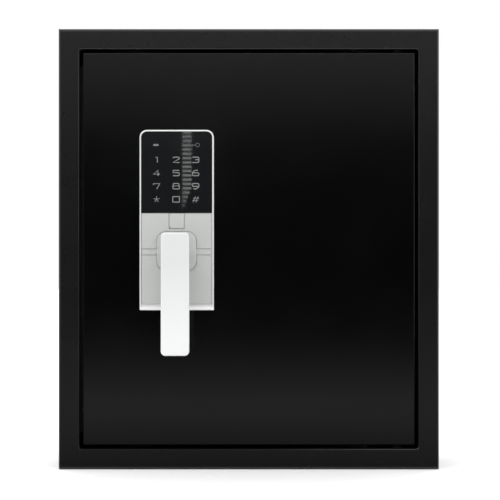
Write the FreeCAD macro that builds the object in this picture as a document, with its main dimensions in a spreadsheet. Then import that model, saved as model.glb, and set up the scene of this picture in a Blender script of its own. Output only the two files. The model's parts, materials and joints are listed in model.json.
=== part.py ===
import FreeCAD, Part
import math
import os
import re
import Sketcher

# Wall safe for a stud bay: a steel box with a face frame, a hinged door with a
# keypad lock, a lever and sliding bolts. Millimetres; X to the right, Y into
# the wall, Z up. The origin is the middle of the opening in the wall's plane.

Vector = FreeCAD.Vector

DIMENSIONS = {
    # face frame
    "flange_width": 383,
    "flange_height": 443,
    "flange_depth": 8,
    "flange_round": 3,
    "flange_skin": 3,
    "flange_edge": 3.5,
    "opening_width": 341,
    "opening_height": 402,
    "opening_round": 1.5,
    "opening_corner": 2.5,
    "jamb_wall": 2,
    "jamb_depth": 30,
    # box behind the frame
    "shell_width": 366,
    "shell_height": 426,
    "shell_depth": 100,
    "shell_wall": 2,
    "shell_corner": 3,
    "anchor_spacing_x": 240,
    "anchor_spacing_z": 300,
    "anchor_radius": 6.5,
    "stud_hole_y": 70,
    "stud_hole_spacing": 300,
    "stud_hole_radius": 3.5,
    "shelf_level": 70,
    "shelf_front": 52,
    "shelf_sheet": 1.5,
    "shelf_lip": 12,
    "shelf_play": 0.5,
    "shelf_pin_radius": 3,
    "shelf_pin_length": 8,
    "shelf_pin_inset": 9,
    "mat_thickness": 3,
    "mat_play": 2,
    "stop_reach": 6.5,
    "stop_sheet": 2,
    "stop_height": 370,
    "stop_web": 3.6,
    "stop_notch": 22,
    "stop_gap": 0.7,
    "bumper_radius": 2,
    "bumper_height": 0.6,
    # door
    "door_gap": 3.5,
    "door_recess": 1,
    "door_sheet": 5,
    "door_round": 1.2,
    "door_corner": 1.5,
    "hard_sheet": 3,
    "pan_left": 160,
    "pan_right": 140,
    "pan_height": 370,
    "pan_rear": 34,
    "pan_wall": 2,
    "cover_sheet": 2,
    "post_radius": 5,
    "post_inset": 12,
    "post_step": 48,
    "cover_screw_radius": 1.6,
    "cover_screw_length": 12,
    "cover_head_height": 2,
    # hinge
    "hinge_x": 150,
    "hinge_y": 3,
    "hinge_pin_radius": 4,
    "hinge_block_height": 20,
    "hinge_block_width": 16,
    "hinge_block_rear": 11,
    "bush_radius": 5,
    "bush_tail": 3,
    "face_gap": 0.1,
    "running_gap": 0.05,
    "dead_bar_reach": 176,
    "dead_bar_height": 340,
    "dead_bar_web": 3,
    "dead_bar_sheet": 5,
    "dead_bar_gap": 1.5,
    # bolt work
    "bolt_radius": 9,
    "bolt_y": 15,
    "bolt_pitch": 130,
    "bolt_tip": 165.5,
    "bolt_throw": 14,
    "bolt_guide_gap": 0.1,
    "bolt_hole_gap": 0.75,
    "bolt_screw_radius": 2.5,
    "bolt_screw_length": 10,
    "bolt_head_radius": 4.5,
    "bolt_head_height": 3,
    "strike_sheet": 4,
    "strike_width": 22,
    "strike_margin": 30,
    "bar_left": 122,
    "bar_sheet": 4,
    "bar_width": 20,
    "bar_height": 300,
    "guide_height": 14,
    "guide_sheet": 2,
    "guide_play": 2,
    "guide_spread": 182,
    "drive_front": 20,
    "drive_sheet": 3,
    "drive_pin_radius": 3,
    "drive_margin": 4,
    "drive_drop": 32,
    "drive_step": 16,
    "cam_radius": 31,
    "cam_front": 12,
    "cam_sheet": 4,
    "cam_start": 12,
    "cam_slot_gap": 0.2,
    # keypad lock and lever
    "lock_x": -72,
    "lock_bottom": -61.2,
    "lock_width": 74,
    "lock_height": 180,
    "lock_front": 20,
    "lock_back": 7.8,
    "lock_corner": 7.5,
    "lock_foot_corner": 1.5,
    "lock_round": 0.8,
    "lock_wall": 4,
    "lock_hollow": 6,
    "screw_wall": 2.5,
    "rail": 1.5,
    "glass_bottom": 35.8,
    "glass_height": 81.5,
    "glass_sheet": 2,
    "glass_play": 0.1,
    "glass_recess": 0.2,
    "keypad_board_sheet": 1.6,
    "keypad_board_inset": 3,
    "cable_radius": 6,
    "lens_width": 5.2,
    "lens_height": 2,
    "lens_left": 20.7,
    "lens_level": 67.9,
    "plate_sheet": 2.4,
    "plate_gap": 0.5,
    "plate_recess": 0.6,
    "foot_height": 5.8,
    "foot_slope": 3.6,
    "handle_z": -2.4,
    "boss_side": 38.8,
    "boss_corner": 9,
    "boss_rise": 2,
    "boss_round": 1,
    "arm_height": 5.6,
    "arm_drop": 0.6,
    "lever_face": 55,
    "lever_sheet": 10,
    "lever_width": 27.7,
    "lever_above": 18.4,
    "lever_below": 102,
    "lever_corner": 4.5,
    "lever_round": 1.5,
    "neck_radius": 11,
    "neck_gap": 0.3,
    "spindle_square": 8,
    "spindle_grip": 26,
    "journal_radius": 6,
    "grub_radius": 2.5,
    "grub_inset": 8,
    "washer_radius": 7,
    "washer_sheet": 1.2,
    "small_screw_radius": 2,
    "small_head_radius": 3.6,
    "small_head_height": 2.4,
    "panel_screw_depth": 5,
    "panel_screw_x": 27,
    "panel_screw_z": 74,
    "gasket_inset": 0.5,
    "hard_width": 76,
    "hard_bottom": -36,
    "hard_top": 57.8,
    "override_z": 28.2,
    "override_radius": 7,
    "override_front": 4,
    "override_rear": 5,
    "plug_radius": 4.5,
    "keyway_width": 1.6,
    "keyway_height": 6.4,
    "keyway_depth": 14,
    "tail_width": 6,
    "tail_reach": 10,
    "tail_sheet": 2,
    "tab_width": 14.8,
    "tab_height": 15.4,
    "tab_corner": 3,
    "tab_small_corner": 1,
    "tab_round": 0.5,
    "tab_recess": 0.4,
    # blocking solenoid
    "plunger_x": -93.5,
    "plunger_radius": 2.5,
    "plunger_tip": 32.35,
    "plunger_gap": 4.35,
    "collar_radius": 4.4,
    "collar_height": 1.5,
    "collar_level": 3,
    "solenoid_bottom": 46,
    "solenoid_height": 30,
    "solenoid_width": 26,
    "solenoid_depth": 20,
    "solenoid_wall": 2,
    "coil_radius": 8,
    "spring_wire": 0.6,
    # electronics and battery
    "cell_radius": 7.1,
    "cell_length": 50.5,
    "cell_pitch": 14.6,
    "battery_x": 20,
    "battery_z": -46,
    "case_wall": 1.5,
    "case_play": 1,
    "battery_door_sheet": 2,
    "battery_door_lap": 4,
    "battery_door_corner": 1.5,
    "grip_width": 1.4,
    "grip_height": 24,
    "grip_depth": 0.7,
    "grip_pitch": 3,
    "grip_left": 22,
    "rail_gap": 0.2,
    "rail_web": 3,
    "rail_lip": 2.5,
    "rail_sheet": 1,
    "rail_run": 46,
    "board_front": 20,
    "board_sheet": 1.6,
    "board_left": -20,
    "board_right": 70,
    "board_bottom": 50,
    "board_top": 130,
    "spacer_inset": 5,
    "spacer_radius": 3,
    "button_x": 25,
    "button_z": 90,
    "button_radius": 3,
    "button_front": 29,
    "button_proud": 2.5,
    "button_collar": 1.5,
    "button_travel": 2,
}

doc = FreeCAD.newDocument("wall_safe")
sheet = doc.addObject("Spreadsheet::Sheet", "dims")
for row, (alias, value) in enumerate(DIMENSIONS.items(), 1):
    sheet.set(f"A{row}", alias)
    sheet.set(f"B{row}", str(value))
    sheet.setAlias(f"B{row}", alias)
doc.recompute()

nodes = []


def size(alias):
    """The number in one cell of the sheet."""
    return float(sheet.get(alias))


def bind(owner, path, text):
    """Ties a property to the sheet; each dimension's name is read from its cell."""
    def cell(word):
        name = word.group()
        return f"dims.{name}" if name in DIMENSIONS else name
    owner.setExpression(path, re.sub(r"[a-z_]+", cell, str(text)))


def keep(piece):
    """Counts an object as one of the safe's separate pieces."""
    nodes.append(piece)
    return piece


# ---- features of a machined or folded piece --------------------------------

def new_body(label):
    made = doc.addObject("PartDesign::Body", label)
    made.Label = label
    return keep(made)


def new_sketch(body, plane, level):
    """A sketch parallel to an origin plane; level is its Y, X or Z in the safe."""
    origin_plane = next(f for f in body.Origin.OriginFeatures if f.Role == plane)
    made = body.newObject("Sketcher::SketchObject", f"{body.Label}_sketch")
    made.AttachmentSupport = [(origin_plane, "")]
    made.MapMode = "FlatFace"
    sign = "-" if plane == "XZ_Plane" else ""
    bind(made, "AttachmentOffset.Base.z", f"{sign}({level})")
    return made


def place(sketch, kind, geometry, point, text):
    """Fixes a point's distance from the sketch's origin."""
    drawn = sketch.getPoint(geometry, point)
    distance = drawn.x if kind == "DistanceX" else drawn.y
    constraint = Sketcher.Constraint(kind, -1, 1, geometry, point, distance)
    index = sketch.addConstraint(constraint)
    bind(sketch, f"Constraints[{index}]", text)


def polygon(sketch, corners):
    """A closed outline through corners, each a pair of expressions."""
    first = sketch.GeometryCount
    count = len(corners)
    turns = [2 * math.pi * (i + 0.6) / count for i in range(count)]
    around = [Vector(10 * math.cos(turn), 10 * math.sin(turn), 0) for turn in turns]
    for i in range(count):
        sketch.addGeometry(Part.LineSegment(around[i], around[(i + 1) % count]), False)
    for i, (across, up) in enumerate(corners):
        following = first + (i + 1) % count
        sketch.addConstraint(Sketcher.Constraint("Coincident", first + i, 2, following, 1))
        place(sketch, "DistanceX", first + i, 1, across)
        place(sketch, "DistanceY", first + i, 1, up)


def rectangle(sketch, across, up):
    """A rectangle from two pairs of expressions, each low then high."""
    polygon(sketch, (
        (across[0], up[0]),
        (across[1], up[0]),
        (across[1], up[1]),
        (across[0], up[1]),
    ))


def arch(sketch, across, up, radius):
    """A rectangle whose two upper corners are round."""
    corners = (
        (across[0], up[0]),
        (across[1], up[0]),
        (across[1], f"{up[1]} - ({radius})"),
        (f"{across[1]} - ({radius})", up[1]),
        (f"{across[0]} + ({radius})", up[1]),
        (across[0], f"{up[1]} - ({radius})"),
    )
    start = [
        Vector(-10, -10, 0), Vector(10, -10, 0), Vector(10, 7, 0),
        Vector(7, 10, 0), Vector(-7, 10, 0), Vector(-10, 7, 0),
    ]
    first = sketch.GeometryCount
    ends = ((0, 1), (1, 2), (3, 4), (5, 0))
    for low, high in ends:
        sketch.addGeometry(Part.LineSegment(start[low], start[high]), False)
    for side, quarter in ((7, 0), (-7, 1)):
        arc = Part.Circle(Vector(side, 7, 0), Vector(0, 0, 1), 3)
        turn = math.pi / 2
        sketch.addGeometry(Part.ArcOfCircle(arc, quarter * turn, (quarter + 1) * turn), False)
    foot, right, lintel, left, right_arc, left_arc = range(first, first + 6)
    for line, point, corner in (
        (foot, 1, 0), (right, 1, 1), (right, 2, 2), (lintel, 1, 3), (lintel, 2, 4), (left, 1, 5),
    ):
        place(sketch, "DistanceX", line, point, corners[corner][0])
        place(sketch, "DistanceY", line, point, corners[corner][1])
    sketch.addConstraint(Sketcher.Constraint("Coincident", foot, 2, right, 1))
    sketch.addConstraint(Sketcher.Constraint("Coincident", left, 2, foot, 1))
    sketch.addConstraint(Sketcher.Constraint("Tangent", right, 2, right_arc, 1))
    sketch.addConstraint(Sketcher.Constraint("Coincident", right_arc, 2, lintel, 1))
    sketch.addConstraint(Sketcher.Constraint("Tangent", lintel, 2, left_arc, 1))
    sketch.addConstraint(Sketcher.Constraint("Coincident", left_arc, 2, left, 1))


def circle(sketch, across, up, radius):
    geometry = sketch.addGeometry(Part.Circle(Vector(1, 1, 0), Vector(0, 0, 1), 1), False)
    place(sketch, "DistanceX", geometry, 3, across)
    place(sketch, "DistanceY", geometry, 3, up)
    index = sketch.addConstraint(Sketcher.Constraint("Radius", geometry, 1.0))
    bind(sketch, f"Constraints[{index}]", radius)


def pad(body, sketch, length, midplane=False, reverse=False):
    made = body.newObject("PartDesign::Pad", f"{body.Label}_pad")
    made.Profile = sketch
    made.Midplane = midplane
    made.Reversed = reverse
    bind(made, "Length", length)


def pocket(body, sketch, length, midplane=False, reverse=False):
    made = body.newObject("PartDesign::Pocket", f"{body.Label}_pocket")
    made.Profile = sketch
    made.Midplane = midplane
    made.Reversed = reverse
    bind(made, "Length", length)


def plate(label, across, up, front, rear):
    """A body padded from its rear face forward to its front face."""
    body = new_body(label)
    outline = new_sketch(body, "XZ_Plane", rear)
    rectangle(outline, across, up)
    pad(body, outline, f"({rear}) - ({front})")
    return body


def cut_rectangle(body, across, up, front, rear):
    opening = new_sketch(body, "XZ_Plane", front)
    rectangle(opening, across, up)
    pocket(body, opening, f"({rear}) - ({front})")


def cut_circles(body, circles, front, rear):
    holes = new_sketch(body, "XZ_Plane", front)
    for across, up, radius in circles:
        circle(holes, across, up, radius)
    pocket(body, holes, f"({rear}) - ({front})")


def round_edges(body, radius, chosen):
    """A fillet along the edges that the test picks."""
    doc.recompute()
    base = body.Tip
    names = [f"Edge{i}" for i, edge in enumerate(base.Shape.Edges, 1) if chosen(edge)]
    made = body.newObject("PartDesign::Fillet", f"{body.Label}_fillet")
    made.Base = (base, names)
    bind(made, "Radius", radius)


def bevel_edges(body, width, chosen):
    """A chamfer along the edges that the test picks."""
    doc.recompute()
    base = body.Tip
    names = [f"Edge{i}" for i, edge in enumerate(base.Shape.Edges, 1) if chosen(edge)]
    made = body.newObject("PartDesign::Chamfer", f"{body.Label}_chamfer")
    made.Base = (base, names)
    bind(made, "Size", width)


def runs_along_y(edge):
    bounds = edge.BoundBox
    return bounds.XLength < 1e-4 and bounds.ZLength < 1e-4


def lies_at_y(edge, level):
    bounds = edge.BoundBox
    return abs(bounds.YMin - level) < 1e-4 and abs(bounds.YMax - level) < 1e-4


def at_edge(value, level):
    """True for a coordinate within a tenth of a millimetre of a level."""
    return abs(value - level) < 0.1


# ---- turned and plain pieces -----------------------------------------------

def block(label, across, deep, up):
    made = doc.addObject("Part::Box", label)
    spans = (("Length", "x", across), ("Width", "y", deep), ("Height", "z", up))
    for side, axis, (low, high) in spans:
        bind(made, side, f"({high}) - ({low})")
        bind(made, f"Placement.Base.{axis}", low)
    return made


AXIS_TURNS = {
    "x": FreeCAD.Rotation(Vector(0, 1, 0), 90),
    "y": FreeCAD.Rotation(Vector(1, 0, 0), -90),
    "z": FreeCAD.Rotation(),
}


def rod(label, axis, start, length, radius):
    """A cylinder from start, three expressions, along one axis."""
    made = doc.addObject("Part::Cylinder", label)
    made.Placement = FreeCAD.Placement(Vector(), AXIS_TURNS[axis])
    for name, text in zip("xyz", start):
        bind(made, f"Placement.Base.{name}", text)
    bind(made, "Height", length)
    bind(made, "Radius", radius)
    return made


def cut(label, base, tool):
    made = doc.addObject("Part::Cut", label)
    made.Base = base
    made.Tool = tool
    return made


def fuse(label, pieces):
    made = doc.addObject("Part::MultiFuse", label)
    made.Shapes = pieces
    return made


def group(label, pieces):
    """Identical pieces that share one node."""
    made = doc.addObject("Part::Compound", label)
    made.Links = pieces
    return made


def tube(label, axis, start, length, outer, inner):
    return cut(
        label,
        rod(f"{label}_outside", axis, start, length, outer),
        rod(f"{label}_inside", axis, start, length, inner),
    )


def centred(width, centre="0"):
    """The low and high ends of a span about its middle."""
    return f"({centre}) - ({width}) / 2", f"({centre}) + ({width}) / 2"


SIDES = (-1, 1)
BOLT_STEPS = (-1, 0, 1)


# ---- face frame and box ----------------------------------------------------

def front_frame():
    body = plate(
        "front_frame", centred("flange_width"), centred("flange_height"), "-flange_depth", "0"
    )
    face = -size("flange_depth")
    round_edges(body, "flange_round", lambda edge: lies_at_y(edge, face))

    jamb_across = centred("opening_width + 2 * jamb_wall")
    jamb_up = centred("opening_height + 2 * jamb_wall")
    jambs = new_sketch(body, "XZ_Plane", "0")
    rectangle(jambs, jamb_across, jamb_up)
    pad(body, jambs, "jamb_depth", reverse=True)
    cut_rectangle(
        body, centred("opening_width"), centred("opening_height"), "-flange_depth", "jamb_depth"
    )

    hollow = new_sketch(body, "XZ_Plane", "0")
    rectangle(
        hollow,
        centred("flange_width - 2 * flange_edge"),
        centred("flange_height - 2 * flange_edge"),
    )
    rectangle(hollow, jamb_across, jamb_up)
    pocket(body, hollow, "flange_depth - flange_skin", reverse=True)

    bolt_holes = new_sketch(body, "YZ_Plane", "-opening_width / 2 + jamb_wall")
    for step in BOLT_STEPS:
        circle(bolt_holes, "bolt_y", f"{step} * bolt_pitch", "bolt_radius + bolt_hole_gap")
    pocket(body, bolt_holes, "3 * jamb_wall")

    bush_holes = new_sketch(body, "XY_Plane", "0")
    circle(bush_holes, "hinge_x", "hinge_y", "bush_radius")
    pocket(body, bush_holes, "opening_height + 4 * jamb_wall", midplane=True)

    def corner_of_opening(edge):
        bounds = edge.BoundBox
        at_side = at_edge(abs(bounds.XMin), size("opening_width") / 2)
        at_end = at_edge(abs(bounds.ZMin), size("opening_height") / 2)
        return runs_along_y(edge) and at_side and at_end

    def rim_of_opening(edge):
        bounds = edge.BoundBox
        reach_x = max(abs(bounds.XMin), abs(bounds.XMax))
        reach_z = max(abs(bounds.ZMin), abs(bounds.ZMax))
        in_width = reach_x < size("opening_width") / 2 + 1
        in_height = reach_z < size("opening_height") / 2 + 1
        return lies_at_y(edge, face) and in_width and in_height

    round_edges(body, "opening_corner", corner_of_opening)
    round_edges(body, "opening_round", rim_of_opening)


def body_shell():
    front = "flange_skin - flange_depth"
    rear = "shell_depth - shell_wall"
    body = plate("body_shell", centred("shell_width"), centred("shell_height"), front, rear)
    round_edges(body, "shell_corner", runs_along_y)
    cut_rectangle(
        body,
        centred("shell_width - 2 * shell_wall"),
        centred("shell_height - 2 * shell_wall"),
        front,
        rear,
    )
    stud_holes = new_sketch(body, "YZ_Plane", "0")
    for side in SIDES:
        circle(stud_holes, "stud_hole_y", f"{side} * stud_hole_spacing / 2", "stud_hole_radius")
    pocket(body, stud_holes, "shell_width + 2", midplane=True)


def back_panel():
    front = "shell_depth - shell_wall"
    body = plate(
        "back_panel", centred("shell_width"), centred("shell_height"), front, "shell_depth"
    )
    round_edges(body, "shell_corner", runs_along_y)
    anchors = [
        (f"{across} * anchor_spacing_x / 2", f"{up} * anchor_spacing_z / 2", "anchor_radius")
        for across in SIDES
        for up in SIDES
    ]
    cut_circles(body, anchors, front, "shell_depth")


def strike_plate():
    body = new_body("strike_plate")
    outline = new_sketch(body, "YZ_Plane", "-opening_width / 2 - jamb_wall")
    rectangle(
        outline, centred("strike_width", "bolt_y"), centred("2 * (bolt_pitch + strike_margin)")
    )
    pad(body, outline, "strike_sheet", reverse=True)
    holes = new_sketch(body, "YZ_Plane", "-opening_width / 2 - jamb_wall")
    for step in BOLT_STEPS:
        circle(holes, "bolt_y", f"{step} * bolt_pitch", "bolt_radius + bolt_hole_gap")
    pocket(body, holes, "strike_sheet")


def hinge_bushes():
    start = "opening_height / 2 - door_gap + face_gap"
    length = "door_gap - face_gap + jamb_wall + bush_tail"
    upper = tube(
        "upper_bush", "z", ("hinge_x", "hinge_y", start), length,
        "bush_radius", "hinge_pin_radius + running_gap",
    )
    lower = tube(
        "lower_bush", "z", ("hinge_x", "hinge_y", f"-({start}) - ({length})"), length,
        "bush_radius", "hinge_pin_radius + running_gap",
    )
    keep(group("hinge_bushes", [upper, lower]))


def door_stops():
    """A flat bar up the latch jamb, notched for the bolts, with four rubber pads."""
    jamb = "-opening_width / 2"
    front = f"{DOOR_REAR} + stop_gap"
    rear = f"{front} + stop_sheet"
    bar = plate(
        "door_stops", (jamb, f"{jamb} + stop_reach"), centred("stop_height"), front, rear
    )
    for step in BOLT_STEPS:
        notch = (f"{jamb} + stop_web", f"{jamb} + stop_reach + 1")
        notch_up = centred("stop_notch", f"{step} * bolt_pitch")
        cut_rectangle(bar, notch, notch_up, front, rear)
    pads = []
    for step in (-1.25, -0.5, 0.5, 1.25):
        pads.append(rod(
            "stop_pad", "y",
            (f"{jamb} + 2 * bumper_radius", f"{front} - bumper_height", f"{step} * bolt_pitch"),
            "bumper_height", "bumper_radius",
        ))
    keep(group("door_bumpers", pads))


def shelves():
    """Two folded shelves, the pins under them and the mat on the floor."""
    pins = []
    for label, side in (("shelf_lower", -1), ("shelf_upper", 1)):
        top = f"{side} * shelf_level"
        body = new_body(label)
        profile = new_sketch(body, "YZ_Plane", "0")
        polygon(profile, (
            ("shelf_front", top),
            ("shelf_front", f"{top} - shelf_lip"),
            ("shelf_front + shelf_sheet", f"{top} - shelf_lip"),
            ("shelf_front + shelf_sheet", f"{top} - shelf_sheet"),
            ("shell_depth - shell_wall - shelf_play", f"{top} - shelf_sheet"),
            ("shell_depth - shell_wall - shelf_play", top),
        ))
        pad(body, profile, "shell_width - 2 * (shell_wall + shelf_play)", midplane=True)
        for hand in SIDES:
            inner_face = f"{hand} * (shell_width / 2 - shell_wall)"
            start = inner_face if hand < 0 else f"{inner_face} - shelf_pin_length"
            level = f"{top} - shelf_sheet - shelf_pin_radius"
            for deep in ("shelf_front + shelf_pin_inset", "shell_depth - 1.5 * shelf_pin_inset"):
                pins.append(rod(
                    "shelf_pin", "x", (start, deep, level), "shelf_pin_length", "shelf_pin_radius"
                ))
    keep(group("shelf_pins", pins))

    floor = "-shell_height / 2 + shell_wall"
    mat = block(
        "floor_mat",
        centred("shell_width - 2 * (shell_wall + mat_play)"),
        ("jamb_depth + mat_play", "shell_depth - shell_wall - mat_play"),
        (floor, f"{floor} + mat_thickness"),
    )
    keep(mat)


# ---- door ------------------------------------------------------------------

DOOR_FRONT = "door_recess - flange_depth"
DOOR_REAR = "door_recess - flange_depth + door_sheet"
PANEL_SCREWS = [
    (f"lock_x + {across} * panel_screw_x", f"lock_bottom + lock_height / 2 + {up} * panel_screw_z - 1")
    for across in SIDES
    for up in SIDES
]
COVER_POSTS = [
    (across, f"{up} * (pan_height / 2 - post_inset)")
    for across in (
        "-pan_left + post_inset", "pan_right - post_inset - post_step", "pan_right - post_inset"
    )
    for up in SIDES
]
# holes through the door and the lock's parts for the spindle, the key cylinder and the cable
SPINDLE_HOLE = ("lock_x", "handle_z", "bolt_radius")
KEY_HOLE = ("lock_x", "override_z", "override_radius")
CABLE_HOLE = ("lock_x", "glass_bottom + glass_height / 2", "cable_radius")
PANEL_SCREW_HOLES = [(across, up, "small_screw_radius + face_gap") for across, up in PANEL_SCREWS]


def door_plate():
    width = "opening_width - 2 * door_gap"
    height = "opening_height - 2 * door_gap"
    body = plate("door_plate", centred(width), centred(height), DOOR_FRONT, DOOR_REAR)
    round_edges(body, "door_corner", runs_along_y)
    face = size("door_recess") - size("flange_depth")
    round_edges(body, "door_round", lambda edge: lies_at_y(edge, face))
    holes = [SPINDLE_HOLE, KEY_HOLE, CABLE_HOLE, *PANEL_SCREW_HOLES]
    cut_circles(body, holes, DOOR_FRONT, DOOR_REAR)


def hard_plate():
    rear = f"{DOOR_REAR} + hard_sheet"
    body = plate(
        "hard_plate", centred("hard_width", "lock_x"), ("hard_bottom", "hard_top"), DOOR_REAR, rear
    )
    cut_circles(body, [SPINDLE_HOLE, KEY_HOLE], DOOR_REAR, rear)


def door_pan():
    across = ("-pan_left", "pan_right")
    inner = ("-pan_left + pan_wall", "pan_right - pan_wall")
    body = plate("door_pan", across, centred("pan_height"), DOOR_REAR, "pan_rear")
    cut_rectangle(body, inner, centred("pan_height - 2 * pan_wall"), DOOR_REAR, "pan_rear")
    guides = new_sketch(body, "YZ_Plane", "-pan_left + 2 * pan_wall")
    for step in BOLT_STEPS:
        circle(guides, "bolt_y", f"{step} * bolt_pitch", "bolt_radius + bolt_guide_gap")
    pocket(body, guides, "3 * pan_wall")


def rear_cover():
    rear = "pan_rear + cover_sheet"
    body = plate(
        "rear_cover", ("-pan_left", "pan_right"), centred("pan_height"), "pan_rear", rear
    )
    cut_rectangle(
        body,
        centred("4 * cell_pitch", "battery_x"),
        centred("cell_length + case_play", "battery_z"),
        "pan_rear",
        rear,
    )
    holes = [(across, up, "cover_screw_radius") for across, up in COVER_POSTS]
    holes.append(("button_x", "button_z", "button_radius + face_gap"))
    cut_circles(body, holes, "pan_rear", rear)
    posts = []
    screws = []
    for across, up in COVER_POSTS:
        length = f"pan_rear - ({DOOR_REAR})"
        thread_start = (across, "pan_rear - cover_screw_length", up)
        posts.append(cut(
            "cover_post",
            rod("post_body", "y", (across, DOOR_REAR, up), length, "post_radius"),
            rod("post_hole", "y", thread_start, "cover_screw_length", "cover_screw_radius"),
        ))
        shank = rod(
            "screw_shank", "y", thread_start, "cover_screw_length + cover_sheet",
            "cover_screw_radius",
        )
        head = rod(
            "screw_head", "y", (across, rear, up), "cover_head_height", "2 * cover_screw_radius"
        )
        screws.append(fuse("cover_screw", [shank, head]))
    keep(group("cover_posts", posts))
    keep(group("cover_screws", screws))


def hinges():
    """The blocks welded behind the door and the pins that turn in the bushes."""
    top = "opening_height / 2 - door_gap"
    pin_length = "hinge_block_height + door_gap + jamb_wall + bush_tail"
    for label, side in (("lower", -1), ("upper", 1)):
        block_start = f"{top} - hinge_block_height" if side > 0 else f"-({top})"
        pin_start = block_start if side > 0 else f"-({top}) + hinge_block_height - ({pin_length})"
        blank = block(
            f"{label}_block_blank",
            centred("hinge_block_width", "hinge_x"),
            (DOOR_REAR, "hinge_block_rear"),
            (block_start, f"{block_start} + hinge_block_height"),
        )
        bore = rod(
            f"{label}_block_bore", "z", ("hinge_x", "hinge_y", block_start),
            "hinge_block_height", "hinge_pin_radius",
        )
        keep(cut(f"hinge_block_{label}", blank, bore))
        keep(rod(
            f"hinge_pin_{label}", "z", ("hinge_x", "hinge_y", pin_start),
            pin_length, "hinge_pin_radius",
        ))

    body = new_body("dead_bar")
    profile = new_sketch(body, "XY_Plane", "0")
    web = "hinge_x + hinge_block_width / 2 + 2"
    hook_front = "jamb_depth + dead_bar_gap"
    hook_rear = f"{hook_front} + dead_bar_sheet"
    polygon(profile, (
        (web, DOOR_REAR),
        (f"{web} + dead_bar_web", DOOR_REAR),
        (f"{web} + dead_bar_web", hook_front),
        ("dead_bar_reach", hook_front),
        ("dead_bar_reach", hook_rear),
        (web, hook_rear),
    ))
    pad(body, profile, "dead_bar_height", midplane=True)


# ---- keypad lock -----------------------------------------------------------

LOCK_TOP = "lock_bottom + lock_height"
LOCK_FACE = "-lock_front"
PLATE_HALF = "lock_width / 2 - rail - plate_gap"
TAB_TOP = "glass_bottom"
TAB_BOTTOM = "glass_bottom - tab_height"


def lock_tray():
    body = plate(
        "lock_tray", centred("lock_width", "lock_x"), ("lock_bottom", LOCK_TOP),
        LOCK_FACE, "-lock_back",
    )
    bottom = size("lock_bottom")
    top = bottom + size("lock_height")
    face = -size("lock_front")

    def foot_edge(edge):
        return lies_at_y(edge, face) and at_edge(edge.BoundBox.ZMax, bottom)

    bevel_edges(body, "foot_slope", foot_edge)
    round_edges(
        body, "lock_corner", lambda edge: runs_along_y(edge) and at_edge(edge.BoundBox.ZMin, top)
    )
    round_edges(
        body, "lock_round", lambda edge: lies_at_y(edge, face) and edge.BoundBox.ZMax > bottom + top
    )

    pocket_width = "lock_width - 2 * rail"
    glass_pocket = new_sketch(body, "XZ_Plane", LOCK_FACE)
    arch(
        glass_pocket,
        centred(pocket_width, "lock_x"),
        ("glass_bottom", "glass_bottom + glass_height"),
        "lock_corner - rail",
    )
    pocket(body, glass_pocket, "glass_recess + glass_sheet + keypad_board_sheet + plate_recess")
    cut_rectangle(
        body,
        centred(pocket_width, "lock_x"),
        ("lock_bottom + foot_height", "glass_bottom"),
        LOCK_FACE,
        f"{LOCK_FACE} + plate_sheet + plate_recess",
    )
    cut_circles(body, [SPINDLE_HOLE, KEY_HOLE, CABLE_HOLE], LOCK_FACE, "-lock_back")
    hollow = new_sketch(body, "XZ_Plane", "-lock_back")
    rectangle(
        hollow,
        centred("lock_width - 2 * lock_wall", "lock_x"),
        ("lock_bottom + foot_slope + 1.5", f"{LOCK_TOP} - 2 * lock_wall"),
    )
    circle(hollow, "lock_x", "handle_z", "bolt_radius + screw_wall")
    circle(hollow, "lock_x", "override_z", "override_radius + screw_wall")
    for across, up in PANEL_SCREWS:
        circle(hollow, across, up, "small_screw_radius + screw_wall")
    pocket(body, hollow, "lock_hollow", reverse=True)
    holes = new_sketch(body, "XZ_Plane", "-lock_back")
    for across, up in PANEL_SCREWS:
        circle(holes, across, up, "small_screw_radius")
    pocket(body, holes, "panel_screw_depth", reverse=True)


def keypad():
    glass_across = centred("lock_width - 2 * (rail + glass_play)", "lock_x")
    glass_up = ("glass_bottom + glass_play", "glass_bottom + glass_height - glass_play")
    front = f"{LOCK_FACE} + glass_recess"
    rear = f"{front} + glass_sheet"
    glass = new_body("keypad_glass")
    outline = new_sketch(glass, "XZ_Plane", rear)
    arch(outline, glass_across, glass_up, "lock_corner - rail - glass_play")
    pad(glass, outline, "glass_sheet")
    lens_across = centred("lens_width", "lock_x - lens_left")
    lens_up = centred("lens_height", "glass_bottom + lens_level")
    cut_rectangle(glass, lens_across, lens_up, front, rear)
    keep(block("status_lens", lens_across, (front, rear), lens_up))
    keep(block(
        "keypad_board",
        centred("lock_width - 2 * (rail + keypad_board_inset)", "lock_x"),
        (rear, f"{rear} + keypad_board_sheet"),
        (
            "glass_bottom + keypad_board_inset",
            "glass_bottom + glass_height - 3 * keypad_board_inset",
        ),
    ))


def lock_gasket():
    body = plate(
        "lock_gasket", centred("lock_width - 2 * gasket_inset", "lock_x"),
        ("lock_bottom + foot_slope", f"{LOCK_TOP} - gasket_inset"), "-lock_back", DOOR_FRONT,
    )
    round_edges(body, "lock_foot_corner", runs_along_y)
    holes = [SPINDLE_HOLE, KEY_HOLE, CABLE_HOLE, *PANEL_SCREW_HOLES]
    cut_circles(body, holes, "-lock_back", DOOR_FRONT)


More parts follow.
